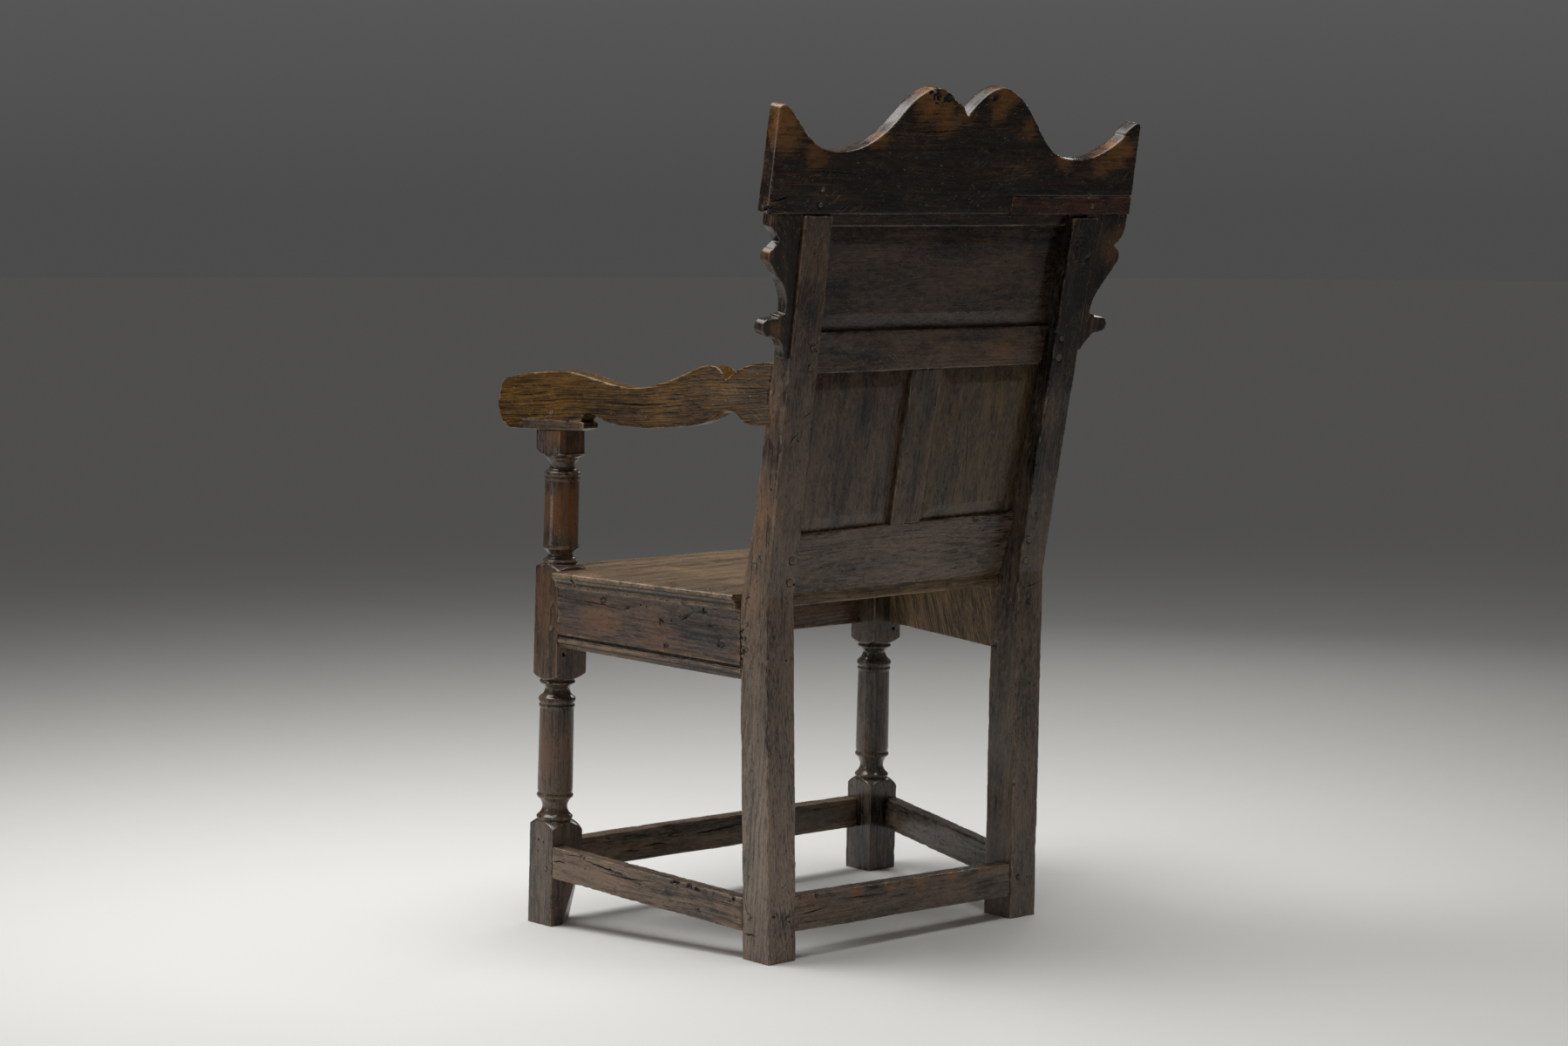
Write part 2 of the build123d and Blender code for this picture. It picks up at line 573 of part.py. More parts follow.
def bottom_rail(seat):
    """The lowest rail of the back, and the space under its top edge, carried to front and back."""
    plane = raked_plane(*STILE_FRONT[1:3])
    base = (SEAT_REAR_Z - plane.origin.Z) / plane.y_dir.Z
    top = (base + BOTTOM_RAIL_TOP[RIGHT], base + BOTTOM_RAIL_TOP[LEFT])
    half = stile_inner(SEAT_REAR_Z + BOTTOM_RAIL_TOP[LEFT] / 2)
    rail = cross_bar(plane, half, (base, base), top, RAIL_THICKNESS, both_stiles()) - seat
    reach = half + TENON_LENGTH
    rise = (top[1] - top[0]) / half / 2
    under = slab(corners((-reach, base), (reach, base), (reach, top[1] + rise * TENON_LENGTH),
                         (-reach, top[0] - rise * TENON_LENGTH)),
                 plane, -4 * RAIL_THICKNESS, 3 * RAIL_THICKNESS)
    return rail, under


def middle_rail():
    low, high = (back_v(z, RAIL_THICKNESS) for z in MIDDLE_RAIL)
    return cross_bar(back_plane(), stile_inner(sum(MIDDLE_RAIL) / 2), (low, low), (high, high),
                     RAIL_THICKNESS, both_stiles())


def top_rail(crest, stiles):
    """The thin rail under the crest, with a tongue that enters the stiles."""
    plane = back_plane()
    low = back_v(TOP_RAIL_BOTTOM, RAIL_THICKNESS)
    high = low + TOP_RAIL_BLANK
    half = stile_inner(TOP_RAIL_BOTTOM + RAIL_LIP)
    rail = slab(corners((-half, low), (half, low), (half, high), (-half, high)), plane, -RAIL_THICKNESS, 0)
    rail = rail - crest - stiles[LEFT] - stiles[RIGHT]
    rail = max(rail.solids(), key=lambda solid: solid.volume)
    half += TENON_LENGTH
    near, far = TOP_RAIL_TENON_DEPTHS
    foot, head = (low + height for height in TOP_RAIL_TENON_HEIGHTS)
    return rail + slab(corners((-half, foot), (half, foot), (half, head), (-half, head)), plane, -far, -near)


def lower_panel_foot(side):
    """How far up the back's plane the bottom rail's top edge is, at a stile."""
    knee = raked_plane(*STILE_FRONT[1:3])
    return back_v(SEAT_REAR_Z + BOTTOM_RAIL_TOP[side] * knee.y_dir.Z - RAIL_LIP)


def muntin_piece(under_bottom_rail):
    """The upright between the lower panels, with a tenon in each rail."""
    plane = back_plane()
    half = MUNTIN_WIDTH / 2
    low = (lower_panel_foot(LEFT) + lower_panel_foot(RIGHT)) / 2
    high = back_v(MIDDLE_RAIL[0], RAIL_THICKNESS)
    reach = 1.5 * MUNTIN_TENON
    body = slab(corners((-half, low - reach), (half, low - reach), (half, high), (-half, high)),
                plane, -RAIL_THICKNESS, 0) - under_bottom_rail
    near, half = (RAIL_THICKNESS - TENON_THICKNESS) / 2, half - TENON_SHOULDER
    foot, head = low - MUNTIN_TENON, high + MUNTIN_TENON
    tenon = slab(corners((-half, foot), (half, foot), (half, head), (-half, head)),
                 plane, -RAIL_THICKNESS + near, -near)
    return body + tenon


def panel_openings():
    """The four corners of each opening of the back, in the back's plane."""
    mid = MUNTIN_WIDTH / 2
    middle_low, middle_high = (back_v(z, RAIL_THICKNESS) for z in MIDDLE_RAIL)
    top_low = back_v(TOP_RAIL_BOTTOM, RAIL_THICKNESS)
    foot_x, head_x = stile_inner(LOWER_PANEL_Z), stile_inner(MIDDLE_RAIL[0])
    upper_foot_x, upper_head_x = stile_inner(MIDDLE_RAIL[1]), stile_inner(TOP_RAIL_BOTTOM)
    left_foot, right_foot = lower_panel_foot(LEFT), lower_panel_foot(RIGHT)
    return {
        "upper_panel": [(-upper_foot_x, middle_high), (upper_foot_x, middle_high),
                        (upper_head_x, top_low), (-upper_head_x, top_low)],
        "lower_left_panel": [(mid, left_foot + LOWER_PANEL_SKEW), (foot_x, left_foot),
                             (head_x, middle_low), (mid, middle_low)],
        "lower_right_panel": [(-foot_x, right_foot), (-mid, right_foot - LOWER_PANEL_SKEW),
                              (-mid, middle_low), (-head_x, middle_low)],
    }


def panel_piece(opening, clear_of):
    """A bevelled panel for an opening of four corners, and the groove space it needs."""
    plane = back_plane()
    mid_x = sum(x for x, _ in opening) / len(opening)
    mid_v = sum(v for _, v in opening) / len(opening)
    bevel_start = -0.6

    def grown(by):
        moved = [(x + (by if x > mid_x else -by), v + (by if v > mid_v else -by)) for x, v in opening]
        return corners(*moved)

    front, tongue_back = PANEL_TONGUE
    tongue = slab(grown(PANEL_HOLD), plane, -tongue_back, -front)
    bevel = loft([plane.offset(-tongue_back) * make_face(grown(bevel_start)),
                  plane.offset(-PANEL_FIELD) * make_face(grown(-PANEL_BEVEL))], ruled=True)
    groove = slab(grown(PANEL_HOLD + GROOVE_ROOM), plane, -tongue_back, -front)
    return tongue + (bevel - clear_of), groove


# ---------------------------------------------------------------- crest and ears
def crest_plane():
    """The plane of the crest's back face; its origin is at the crest's lower edge."""
    face = raked_plane(*STILE_BACK[1:])
    foot = Vector(0, along(CREST_BOTTOM, STILE_BACK), CREST_BOTTOM)
    return Plane(origin=foot + face.z_dir * CREST_INSET, x_dir=face.x_dir, z_dir=face.z_dir)


def crest_v(z):
    """How far up the crest's plane a height is."""
    return (z - CREST_BOTTOM) / crest_plane().y_dir.Z


def crest_outline():
    """The crest from behind: pointed ends, hollows, and two humps that meet in a cleft."""
    cleft, left_tip, right_tip = (3.0, 1079), (312.0, 1089), (-307.0, 1075.5)
    left = [(297, 1081), (270, 1054.5), (245, 1039), (213, 1033.5), (180, 1038), (145, 1055),
            (125, 1071), (106, 1091), (86, 1106), (63, 1114), (39, 1109), (19, 1095)]
    right = [(-14, 1098), (-34, 1112), (-56, 1117.5), (-79, 1109.5), (-107, 1088), (-138, 1054),
             (-165, 1034.5), (-195, 1027.5), (-228, 1029.5), (-262, 1042), (-289, 1060)]

    def up(*points):
        return [(x, crest_v(z)) for x, z in points]

    left_end = up((CREST_HALF, 1079), (CREST_HALF - 1, 1086), left_tip)
    right_end = up(right_tip, (5 - CREST_HALF, 1076), (2 - CREST_HALF, 1070))
    return Wire([
        Line((CREST_HALF, 0), left_end[0]),
        ThreePointArc(*left_end),
        Spline(*up(left_tip, *left, cleft), tangents=[(-1, -0.15), (-0.6, -1)]),
        Spline(*up(cleft, *right, right_tip), tangents=[(-0.6, 1), (-1, 0.6)]),
        ThreePointArc(*right_end),
        Line(right_end[-1], (-CREST_HALF, 0)),
        Line((-CREST_HALF, 0), (CREST_HALF, 0)),
    ])


def crest_tenon():
    """The tenon on top of the left stile, flush with the stile's inner face."""
    inner, outer = stile_inner(RAKE_TOP_Z), along(RAKE_TOP_Z, STILE_OUTER) - CREST_TENON_SHOULDER
    foot = -CREST_TENON_HEIGHT
    return slab(corners((inner, foot), (outer, foot), (outer, CREST_TENON_HEIGHT), (inner, CREST_TENON_HEIGHT)),
                crest_plane(), *CREST_TENON_DEPTHS)


def patch_blank():
    """The strip let into the back of the crest's right end, along its lower edge."""
    end, skew, below = PATCH_LENGTH - CREST_HALF, 4.0, -1.0
    return slab(corners((-FAR, below), (end, below), (end - skew, PATCH_HEIGHT - 2), (-FAR, PATCH_HEIGHT)),
                crest_plane(), 0, PATCH_DEPTH)


def ear_outline(side):
    """One ear from behind: cheek, notch, bulge, long hollow, then a knob over a short tail."""
    at = dict(EAR_OUTLINE[side])
    hollow = [(x, crest_v(z)) for x, z in at.pop("hollow")]
    at["corner"] = (at["top"][0], CREST_BOTTOM)
    at["inner top"] = (EAR_ROOT_X, CREST_BOTTOM)
    at["inner end"] = (EAR_ROOT_X, at["tail end"][1])

    def p(name):
        x, z = at[name]
        return (x, crest_v(z))

    edges = [
        ThreePointArc(p("top"), p("cheek"), p("notch")),
        Line(p("notch"), p("brow")),
        ThreePointArc(p("brow"), p("bulge"), p("chin")),
        Spline(p("chin"), *hollow, p("waist"), tangents=[(-0.75, -0.65), (0.05, -1)]),
        ThreePointArc(p("knob top"), p("knob"), p("knob foot")),
        ThreePointArc(p("tail root"), p("tail"), p("tail end")),
    ]
    straight = [["waist", "step", "knob root", "knob top"], ["knob foot", "tail root"],
                ["tail end", "inner end", "inner top", "corner", "top"]]
    for run in straight:
        edges += [Line(p(first), p(second)) for first, second in zip(run, run[1:])]
    return Wire(edges)


def ear_piece(side, stile):
    """A scrolled bracket on the outside of a stile, under the crest's end."""
    ear = slab(ear_outline(side), crest_plane(), EAR_INSET, EAR_INSET + EAR_THICKNESS)
    return to_side(ear, side) - stile


# ---------------------------------------------------------------- arms
def arm_plane():
    """The upright plane of the left arm's outer face: x forward from the stile, y up."""
    rear = (along(ARM_SEAT_Z, STILE_OUTER), along(ARM_SEAT_Z, STILE_FRONT), 0)
    return Plane(origin=rear, x_dir=(ARM_SPLAY, -1, 0), z_dir=(-1, -ARM_SPLAY, 0))


def post_run(side):
    """How far along the arm the post's axis is."""
    plane = arm_plane()
    axis = post_axis(side, ARM_PAD_TOP)
    return (Vector(axis.X, axis.Y, 0) - plane.origin).dot(plane.x_dir)


def arm_outline():
    """The arm from the side: a rounded nose, a dip, a hump, a notch and the end at the stile."""
    inside = -45.0
    return Wire([
        Line((inside, 692.5), (18, 692)),
        ThreePointArc((18, 692), (36, 692.5), (47, 698.5)),
        ThreePointArc((47, 698.5), (58, 706.5), (72, 708.5)),
        Spline((72, 708.5), (96, 698), (121, 689), (160, 684), (205, 680.5), (243, 680.5), (272, 683.5),
               (296, 691), (316, 696), tangents=[(1, -0.15), (1, 0.05)]),
        Line((316, 696), (321, 694)),
        Line((321, 694), (ARM_PAD_BACK, ARM_PAD_TOP)),
        Line((ARM_PAD_BACK, ARM_PAD_TOP), (ARM_PAD_FRONT, ARM_PAD_TOP)),
        Line((ARM_PAD_FRONT, ARM_PAD_TOP), (ARM_PAD_FRONT + 4, ARM_PAD_BOTTOM)),
        Line((ARM_PAD_FRONT + 4, ARM_PAD_BOTTOM), (456, ARM_PAD_BOTTOM)),
        Spline((456, ARM_PAD_BOTTOM), (472, 679), (480, 706), (474, 729), (452, 740.5),
               tangents=[(1, 0.05), (-1, 0.28)]),
        Spline((452, 740.5), (415, 746), (372, 749.5), (340, 748.5), (304, 742), (268, 735), (236, 732.5),
               (200, 736), (160, 747), (125, 760), (100, 766), (86, 763), (72, 746),
               tangents=[(-1, 0.2), (-0.45, -1)]),
        Spline((72, 746), (60, 757), (42, 765.5), (20, 771), (0, 773), tangents=[(-0.6, 1), (-1, 0.05)]),
        Line((0, 773), (inside, 774)),
        Line((inside, 774), (inside, 692.5)),
    ])


def arm_piece(side, stile):
    """An arm with its tenon, cut to its stile's front face and over its post's tenon."""
    plane = arm_plane()
    arm = slab(arm_outline(), plane, 0, ARM_THICKNESS) - to_side(stile, side)
    arm = max(arm.solids(), key=lambda solid: solid.volume)
    near = (ARM_THICKNESS - ARM_TENON_THICKNESS) / 2
    low, high = ARM_TENON
    lap, slant = 20.0, 10.0
    tenon = slab(corners((-ARM_TENON_LENGTH, low), (lap, low), (lap, high), (slant - ARM_TENON_LENGTH, high)),
                 plane, near, near + ARM_TENON_THICKNESS)
    return to_side(arm + tenon - post_tenon(side), side)


def arm_pad(side):
    """The piece set under the arm over the post, with a sloping back end."""
    end, drop = 6.0, 9.0
    outline = corners((ARM_PAD_BACK - end, ARM_PAD_TOP - 2), (ARM_PAD_BACK, ARM_PAD_TOP),
                      (ARM_PAD_FRONT, ARM_PAD_TOP), (ARM_PAD_FRONT + 4, ARM_PAD_BOTTOM),
                      (ARM_PAD_BACK + 4, ARM_PAD_BOTTOM + 1.5), (ARM_PAD_BACK - end, ARM_PAD_TOP - drop))
    return to_side(slab(outline, arm_plane(), 0, ARM_THICKNESS) - post_tenon(side), side)


def post_tenon(side):
    """The tenon on top of the left post, through the pad and into the arm."""
    across, length = POST_TENON
    foot, middle = ARM_PAD_BOTTOM - 15, post_run(side)
    near = (ARM_THICKNESS - across) / 2
    start, end = middle - length / 2, middle + length / 2
    return slab(corners((start, foot), (end, foot), (end, POST_TENON_TOP), (start, POST_TENON_TOP)),
                arm_plane(), near, near + across)


# ---------------------------------------------------------------- joining the chair
pieces = {}
pegs = {}


def join_lower_frame():
    """The rails and stretchers between the uprights."""
    for name, side in SIDES.items():
        pieces[name + "_seat_rail"] = to_side(side_seat_rail(side), side)
        pieces[name + "_stretcher"] = to_side(side_stretcher(side), side)
    pieces["front_seat_rail"] = front_seat_rail()
    pieces["front_stretcher"] = front_stretcher()
    pieces["rear_stretcher"] = rear_stretcher()


def join_seat(posts, stiles):
    """The seat's boards, and the seat rails cut to them."""
    front, main = seat_boards(posts, stiles)
    pieces["seat_front_board"], pieces["seat_main_board"] = front, main
    for name in ("front_seat_rail", "left_seat_rail", "right_seat_rail"):
        pieces[name] = pieces[name] - front - main


def join_crest(stiles):
    """The crest with its patch, on the stiles' tenons, and the ears under its ends."""
    crest, patch = slab(crest_outline(), crest_plane(), 0, CREST_THICKNESS), patch_blank()
    for name, side in SIDES.items():
        pieces[name + "_ear"] = ear_piece(side, stiles[side])
    pieces["crest_patch"] = patch & crest
    pieces["crest"] = crest - stiles[LEFT] - stiles[RIGHT] - patch
    return crest


def join_back(stiles, crest):
    """The back's rails, muntin and panels. The stiles lose the panels' grooves."""
    pieces["bottom_rail"], under_bottom_rail = bottom_rail(pieces["seat_main_board"])
    pieces["middle_rail"] = middle_rail()
    pieces["top_rail"] = top_rail(crest, stiles)
    pieces["muntin"] = muntin_piece(under_bottom_rail)
    for name, opening in panel_openings().items():
        pieces[name], groove = panel_piece(opening, under_bottom_rail)
        low_holders = ["top_rail"] if name == "upper_panel" else ["bottom_rail", "muntin"]
        for holder in ["middle_rail", *low_holders]:
            pieces[holder] = pieces[holder] - groove
        for side in (LEFT, RIGHT):
            stiles[side] -= groove
    for rail in ("bottom_rail", "middle_rail"):
        pieces[rail] = pieces[rail] - pieces["muntin"]


def cut_mortises(posts, stiles):
    """The uprights as pieces: each loses what enters it."""
    for name, side in SIDES.items():
        bars = [name + "_seat_rail", name + "_stretcher"]
        upright = stiles[side]
        for other in bars + ["rear_stretcher", "bottom_rail", "middle_rail", "top_rail", name + "_arm"]:
            upright -= pieces[other]
        pieces[name + "_rear_stile"] = upright
        upright = posts[side]
        for other in bars + ["front_stretcher", "front_seat_rail"]:
            upright -= pieces[other]
        pieces[name + "_front_post"] = upright


# ---------------------------------------------------------------- pegs and nails
def drive(group, start, direction, length, radius, through, proud=PEG_PROUD):
    """Drive a peg or nail into the named pieces, and add it to its group.

    Its head stands proud of the start, or lies sunk in its hole where proud is below 0.
    """
    way = Vector(direction).normalized()

    def rod(lead):
        plane = Plane(origin=Vector(start) - way * lead, z_dir=way)
        return extrude(plane * Circle(radius), amount=length + lead, dir=way)

    hole = rod(abs(proud))
    for name in through:
        pieces[name] = pieces[name] - hole
    pegs.setdefault(group, []).append(rod(proud))


def peg_back():
    """Pegs through the stiles from behind, into the rails' tenons."""
    forward = back_plane().z_dir
    for name, side in SIDES.items():
        for rail, (heights, inset, length) in BACK_PEGS.items():
            for z in heights:
                spot = (side * (stile_inner(z) + inset), along(z, STILE_BACK), z)
                drive("back_pegs", spot, forward, length, PEG_R, [name + "_rear_stile", rail])


def peg_crest():
    """Pegs through the crest into the stiles' tenons."""
    plane = crest_plane()
    for name, side in SIDES.items():
        through = ["crest", name + "_rear_stile"] + (["crest_patch"] if side == RIGHT else [])
        for x, v in CREST_PEGS[side]:
            spot = plane.origin + plane.x_dir * (side * x) + plane.y_dir * v
            drive("crest_pegs", spot, plane.z_dir, CREST_THICKNESS - 2, SMALL_PEG_R, through)


def peg_arms():
    """Pegs through the arms' outer faces, into the posts' tenons and the arms' own."""
    plane = arm_plane()
    stile_x = along(ARM_PEG_Z["stile"], STILE_OUTER)
    for name, side in SIDES.items():
        way = (side * plane.z_dir.X, plane.z_dir.Y, 0)
        at_post = plane.origin + plane.x_dir * post_run(side)
        at_stile = plane.origin - plane.x_dir * ARM_PEG_INSET
        spots = {"post": (side * at_post.X, at_post.Y, ARM_PEG_Z["post"]),
                 "stile": (side * stile_x, at_stile.Y, ARM_PEG_Z["stile"])}
        for place, upright in (("post", name + "_front_post"), ("stile", name + "_rear_stile")):
            drive("arm_pegs", spots[place], way, ARM_THICKNESS - 5, SMALL_PEG_R, [name + "_arm", upright])


def peg_side_bars():
    """Pegs of the side rails and stretchers, driven from the outer faces of the uprights."""
    for name, side in SIDES.items():
        bars = [("seat_rail_pegs", "_seat_rail", z, z) for z in SEAT_RAIL_PEG_Z]
        bars.append(("stretcher_pegs", "_stretcher", STRETCHER_PEG_Z["front"], STRETCHER_PEG_Z["rear"]))
        for group, bar, front_z, rear_z in bars:
            axis = post_axis(side, front_z)
            front = (side * (axis.X + POST / 2), axis.Y + POST / 2 - PEG_FROM_EDGE, front_z)
            rear = (side * along(rear_z, STILE_OUTER), along(rear_z, STILE_FRONT) + PEG_FROM_EDGE, rear_z)
            for spot, upright in ((front, "_front_post"), (rear, "_rear_stile")):
                drive(group, spot, (-side, 0, 0), SIDE_PEG_LENGTH, SMALL_PEG_R, [name + upright, name + bar])


def peg_cross_bars():
    """Pegs of the front's bars and of the rear stretcher."""
    bars = [("seat_rail_pegs", "front_seat_rail", z) for z in FRONT_RAIL_PEG_Z]
    bars.append(("stretcher_pegs", "front_stretcher", FRONT_STRETCHER_PEG_Z))
    for name, side in SIDES.items():
        for group, bar, z in bars:
            axis = post_axis(side, z)
            spot = (side * (axis.X - POST / 2 + PEG_FROM_EDGE), axis.Y - POST / 2, z)
            drive(group, spot, (0, 1, 0), FRONT_PEG_LENGTH, SMALL_PEG_R, [name + "_front_post", bar])
        z = REAR_STRETCHER_PEG_Z
        spot = (side * (stile_inner(z) + PEG_FROM_EDGE), along(z, STILE_BACK), z)
        drive("stretcher_pegs", spot, (0, -1, 0), REAR_PEG_LENGTH, SMALL_PEG_R,
              [name + "_rear_stile", "rear_stretcher"])


def peg_seat():
    """Pegs that hold the seat's boards to its rails."""
    down = -seat_plane().z_dir
    for name, side in SIDES.items():
        plane, length = side_plane(side, SEAT_REAR_Z)
        for share in SEAT_PEG_SHARES:
            spot = plane.origin + plane.x_dir * length * share + plane.z_dir * (SIDE_RAIL_THICKNESS / 2)
            drive("seat_pegs", on_seat(side * spot.X, spot.Y), down, SEAT_PEG_LENGTH, SMALL_PEG_R,
                  ["seat_main_board", name + "_seat_rail"])
    for x in SEAT_PEG_X:
        drive("seat_pegs", on_seat(x, SEAT_PEG_Y), down, SEAT_PEG_LENGTH, SMALL_PEG_R,
              ["seat_front_board", "front_seat_rail"])


def nail_ears():
    """Nails through the ears' outer edges into the stiles."""
    depth = CREST_INSET + EAR_INSET + EAR_THICKNESS / 2
    for name, side in SIDES.items():
        for z, x in EAR_NAILS[side]:
            spot = (side * x, along(z, STILE_BACK) - depth, z)
            drive("ear_nails", spot, (-side, 0, 0), NAIL_LENGTH, NAIL_R, [name + "_ear", name + "_rear_stile"],
                  proud=-NAIL_SUNK)


# ---------------------------------------------------------------- the chair
def make_chair():
    stiles = {side: to_side(stile_blank(side) + crest_tenon(), side) for side in (LEFT, RIGHT)}
    posts = {side: to_side(post_blank(side) + post_tenon(side), side) for side in (LEFT, RIGHT)}
    posts[LEFT] -= wane_cut()
    join_lower_frame()
    join_seat(posts, stiles)
    crest = join_crest(stiles)
    join_back(stiles, crest)
    for name, side in SIDES.items():
        pieces[name + "_arm"] = arm_piece(side, stiles[side])
        pieces[name + "_arm_pad"] = arm_pad(side)
    cut_mortises(posts, stiles)
    for step in (peg_back, peg_crest, peg_arms, peg_side_bars, peg_cross_bars, peg_seat, nail_ears):
        step()
    for group, members in pegs.items():
        pieces[group] = Compound(children=members)


def write_parts():
    """Move the chair to its origin and write each piece."""
    everything = Compound(children=[Compound(list(shape.solids())) for shape in pieces.values()])
    box = everything.bounding_box()
    shift = Vector(-(box.min.X + box.max.X) / 2, -(box.min.Y + box.max.Y) / 2, -box.min.Z)
    os.makedirs("parts", exist_ok=True)
    for name, shape in pieces.items():
        solids = [Pos(*shift) * solid for solid in shape.solids()]
        placed = solids[0] if len(solids) == 1 else Compound(children=solids)
        export_step(placed, "parts/" + name + ".step")
    print("pieces", len(pieces), "size", box.size, "shift", shift)


make_chair()
write_parts()
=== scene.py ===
import random
from math import cos, pi, radians, sin

import bmesh
import bpy
import numpy as np
from mathutils import Matrix, Vector
from mathutils.bvhtree import BVHTree


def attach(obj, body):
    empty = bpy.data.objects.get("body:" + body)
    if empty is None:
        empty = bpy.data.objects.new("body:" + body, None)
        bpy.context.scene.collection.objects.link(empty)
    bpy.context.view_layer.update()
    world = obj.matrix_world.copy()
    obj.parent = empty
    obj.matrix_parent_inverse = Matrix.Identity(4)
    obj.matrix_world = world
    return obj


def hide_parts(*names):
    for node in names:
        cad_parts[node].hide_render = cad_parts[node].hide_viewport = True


# A joined oak armchair of the seventeenth century, seen from behind. Each solid of the frame is
# redrawn as old wood: its arrises are rubbed round, its faces ripple, and it is holed, cracked
# and dented. Sizes are in millimetres where a name or comment says so, and else in metres.

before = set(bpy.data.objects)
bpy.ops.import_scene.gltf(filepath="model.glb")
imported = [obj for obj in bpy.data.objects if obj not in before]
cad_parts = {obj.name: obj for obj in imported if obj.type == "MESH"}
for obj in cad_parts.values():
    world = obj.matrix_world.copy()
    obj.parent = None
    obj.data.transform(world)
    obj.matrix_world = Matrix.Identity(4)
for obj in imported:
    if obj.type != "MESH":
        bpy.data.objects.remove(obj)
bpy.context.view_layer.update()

MM = 0.001


# ---------------------------------------------------------------- the camera
PHOTO_CENTRE = (899.5, 600.0)          # pixels of the 1799 x 1200 picture
PHOTO_WIDTH = 1799
CAMERA_PLACE = Vector((2.9470, 3.3427, 0.9690))
CAMERA_TURN, CAMERA_DROP, CAMERA_ROLL = radians(139.244), radians(5.483), radians(0.108)
LENS, SENSOR = 76.19, 36.0


def camera_axes():
    """The camera's right, up and backward directions."""
    level = cos(CAMERA_DROP)
    back = Vector((sin(CAMERA_TURN) * level, -cos(CAMERA_TURN) * level, sin(CAMERA_DROP)))
    right = back.cross(Vector((0, 0, -1))).normalized()
    up = back.cross(right)
    c, s = cos(CAMERA_ROLL), sin(CAMERA_ROLL)
    return c * right + s * up, c * up - s * right, back


def make_camera():
    right, up, back = camera_axes()
    data = bpy.data.cameras.new("camera")
    data.lens, data.sensor_width = LENS, SENSOR
    camera = bpy.data.objects.new("camera", data)
    turn = Matrix((right, up, back)).transposed().to_4x4()
    camera.matrix_world = Matrix.Translation(CAMERA_PLACE) @ turn
    bpy.context.collection.objects.link(camera)
    bpy.context.scene.camera = camera


def sight(x, y):
    """The direction from the camera to a pixel of the picture."""
    right, up, back = camera_axes()
    focal = LENS / SENSOR * PHOTO_WIDTH
    across, above = x - PHOTO_CENTRE[0], PHOTO_CENTRE[1] - y
    return (across / focal * right + above / focal * up - back).normalized()


# ---------------------------------------------------------------- noise
def lattice(x, y, z, seed):
    """A random number from 0 to 1 for each whole-number place."""
    mixed = (x * 374761393 + y * 668265263 + z * 1442695041 + seed * 974711) & 0xFFFFFFFF
    mixed = ((mixed ^ (mixed >> 13)) * 1274126177) & 0xFFFFFFFF
    return ((mixed ^ (mixed >> 16)) & 0xFFFF) / 65535


def noise(points, seed, octaves=3):
    """Smooth noise from about -1 to 1. The points' unit is the size of its largest lumps."""
    total = np.zeros(len(points))
    for octave in range(octaves):
        scaled = points * 2.0 ** octave + 17.3 * octave
        cell = np.floor(scaled).astype(np.int64)
        part = scaled - cell
        part = part * part * (3 - 2 * part)
        value = 0
        for corner in range(8):
            step = np.array([corner & 1, corner >> 1 & 1, corner >> 2 & 1])
            share = np.prod(np.where(step, part, 1 - part), axis=1)
            place = cell + step
            value = value + share * lattice(place[:, 0], place[:, 1], place[:, 2], seed + octave)
        total += (2 * value - 1) * 0.5 ** octave
    return total


# ---------------------------------------------------------------- meshes as arrays
def applied(piece):
    """Replaces a piece's mesh by what its modifiers make of it."""
    depsgraph = bpy.context.evaluated_depsgraph_get()
    mesh = bpy.data.meshes.new_from_object(piece.evaluated_get(depsgraph), depsgraph=depsgraph)
    old = piece.data
    piece.modifiers.clear()
    piece.data = mesh
    mesh.name = piece.name
    bpy.data.meshes.remove(old)


def read_points(mesh):
    points = np.empty(len(mesh.vertices) * 3)
    mesh.vertices.foreach_get("co", points)
    return points.reshape(-1, 3)


def read_normals(mesh):
    normals = np.empty(len(mesh.vertices) * 3, np.float32)
    mesh.vertex_normals.foreach_get("vector", normals)
    return normals.reshape(-1, 3).astype(float)


def write_points(mesh, points):
    mesh.vertices.foreach_set("co", points.astype(np.float32).ravel())
    mesh.update()


def read_edges(mesh):
    edges = np.empty(len(mesh.edges) * 2, np.int32)
    mesh.edges.foreach_get("vertices", edges)
    return edges.reshape(-1, 2)


def softened(points, edges, steps, strength=1.0):
    """Draws each point towards the middle of its neighbours. strength may differ by point."""
    count = len(points)
    ends = np.concatenate([edges, edges[:, ::-1]])
    degree = np.maximum(np.bincount(ends[:, 0], minlength=count), 1)
    strength = np.broadcast_to(np.asarray(strength, float), count)[:, None]
    points = points.copy()
    for _ in range(steps):
        middle = np.stack([np.bincount(ends[:, 0], points[ends[:, 1], k], count) for k in range(3)], 1)
        points += 0.5 * strength * (middle / degree[:, None] - points)
    return points


def set_attribute(mesh, name, values):
    attribute = mesh.attributes.get(name) or mesh.attributes.new(name, "FLOAT", "POINT")
    attribute.data.foreach_set("value", values.astype(np.float32))


# ---------------------------------------------------------------- the pieces' kinds
ACROSS = (1, 0, 0)
USUAL_REACH = 14                       # steps of softening against which an arris stands proud
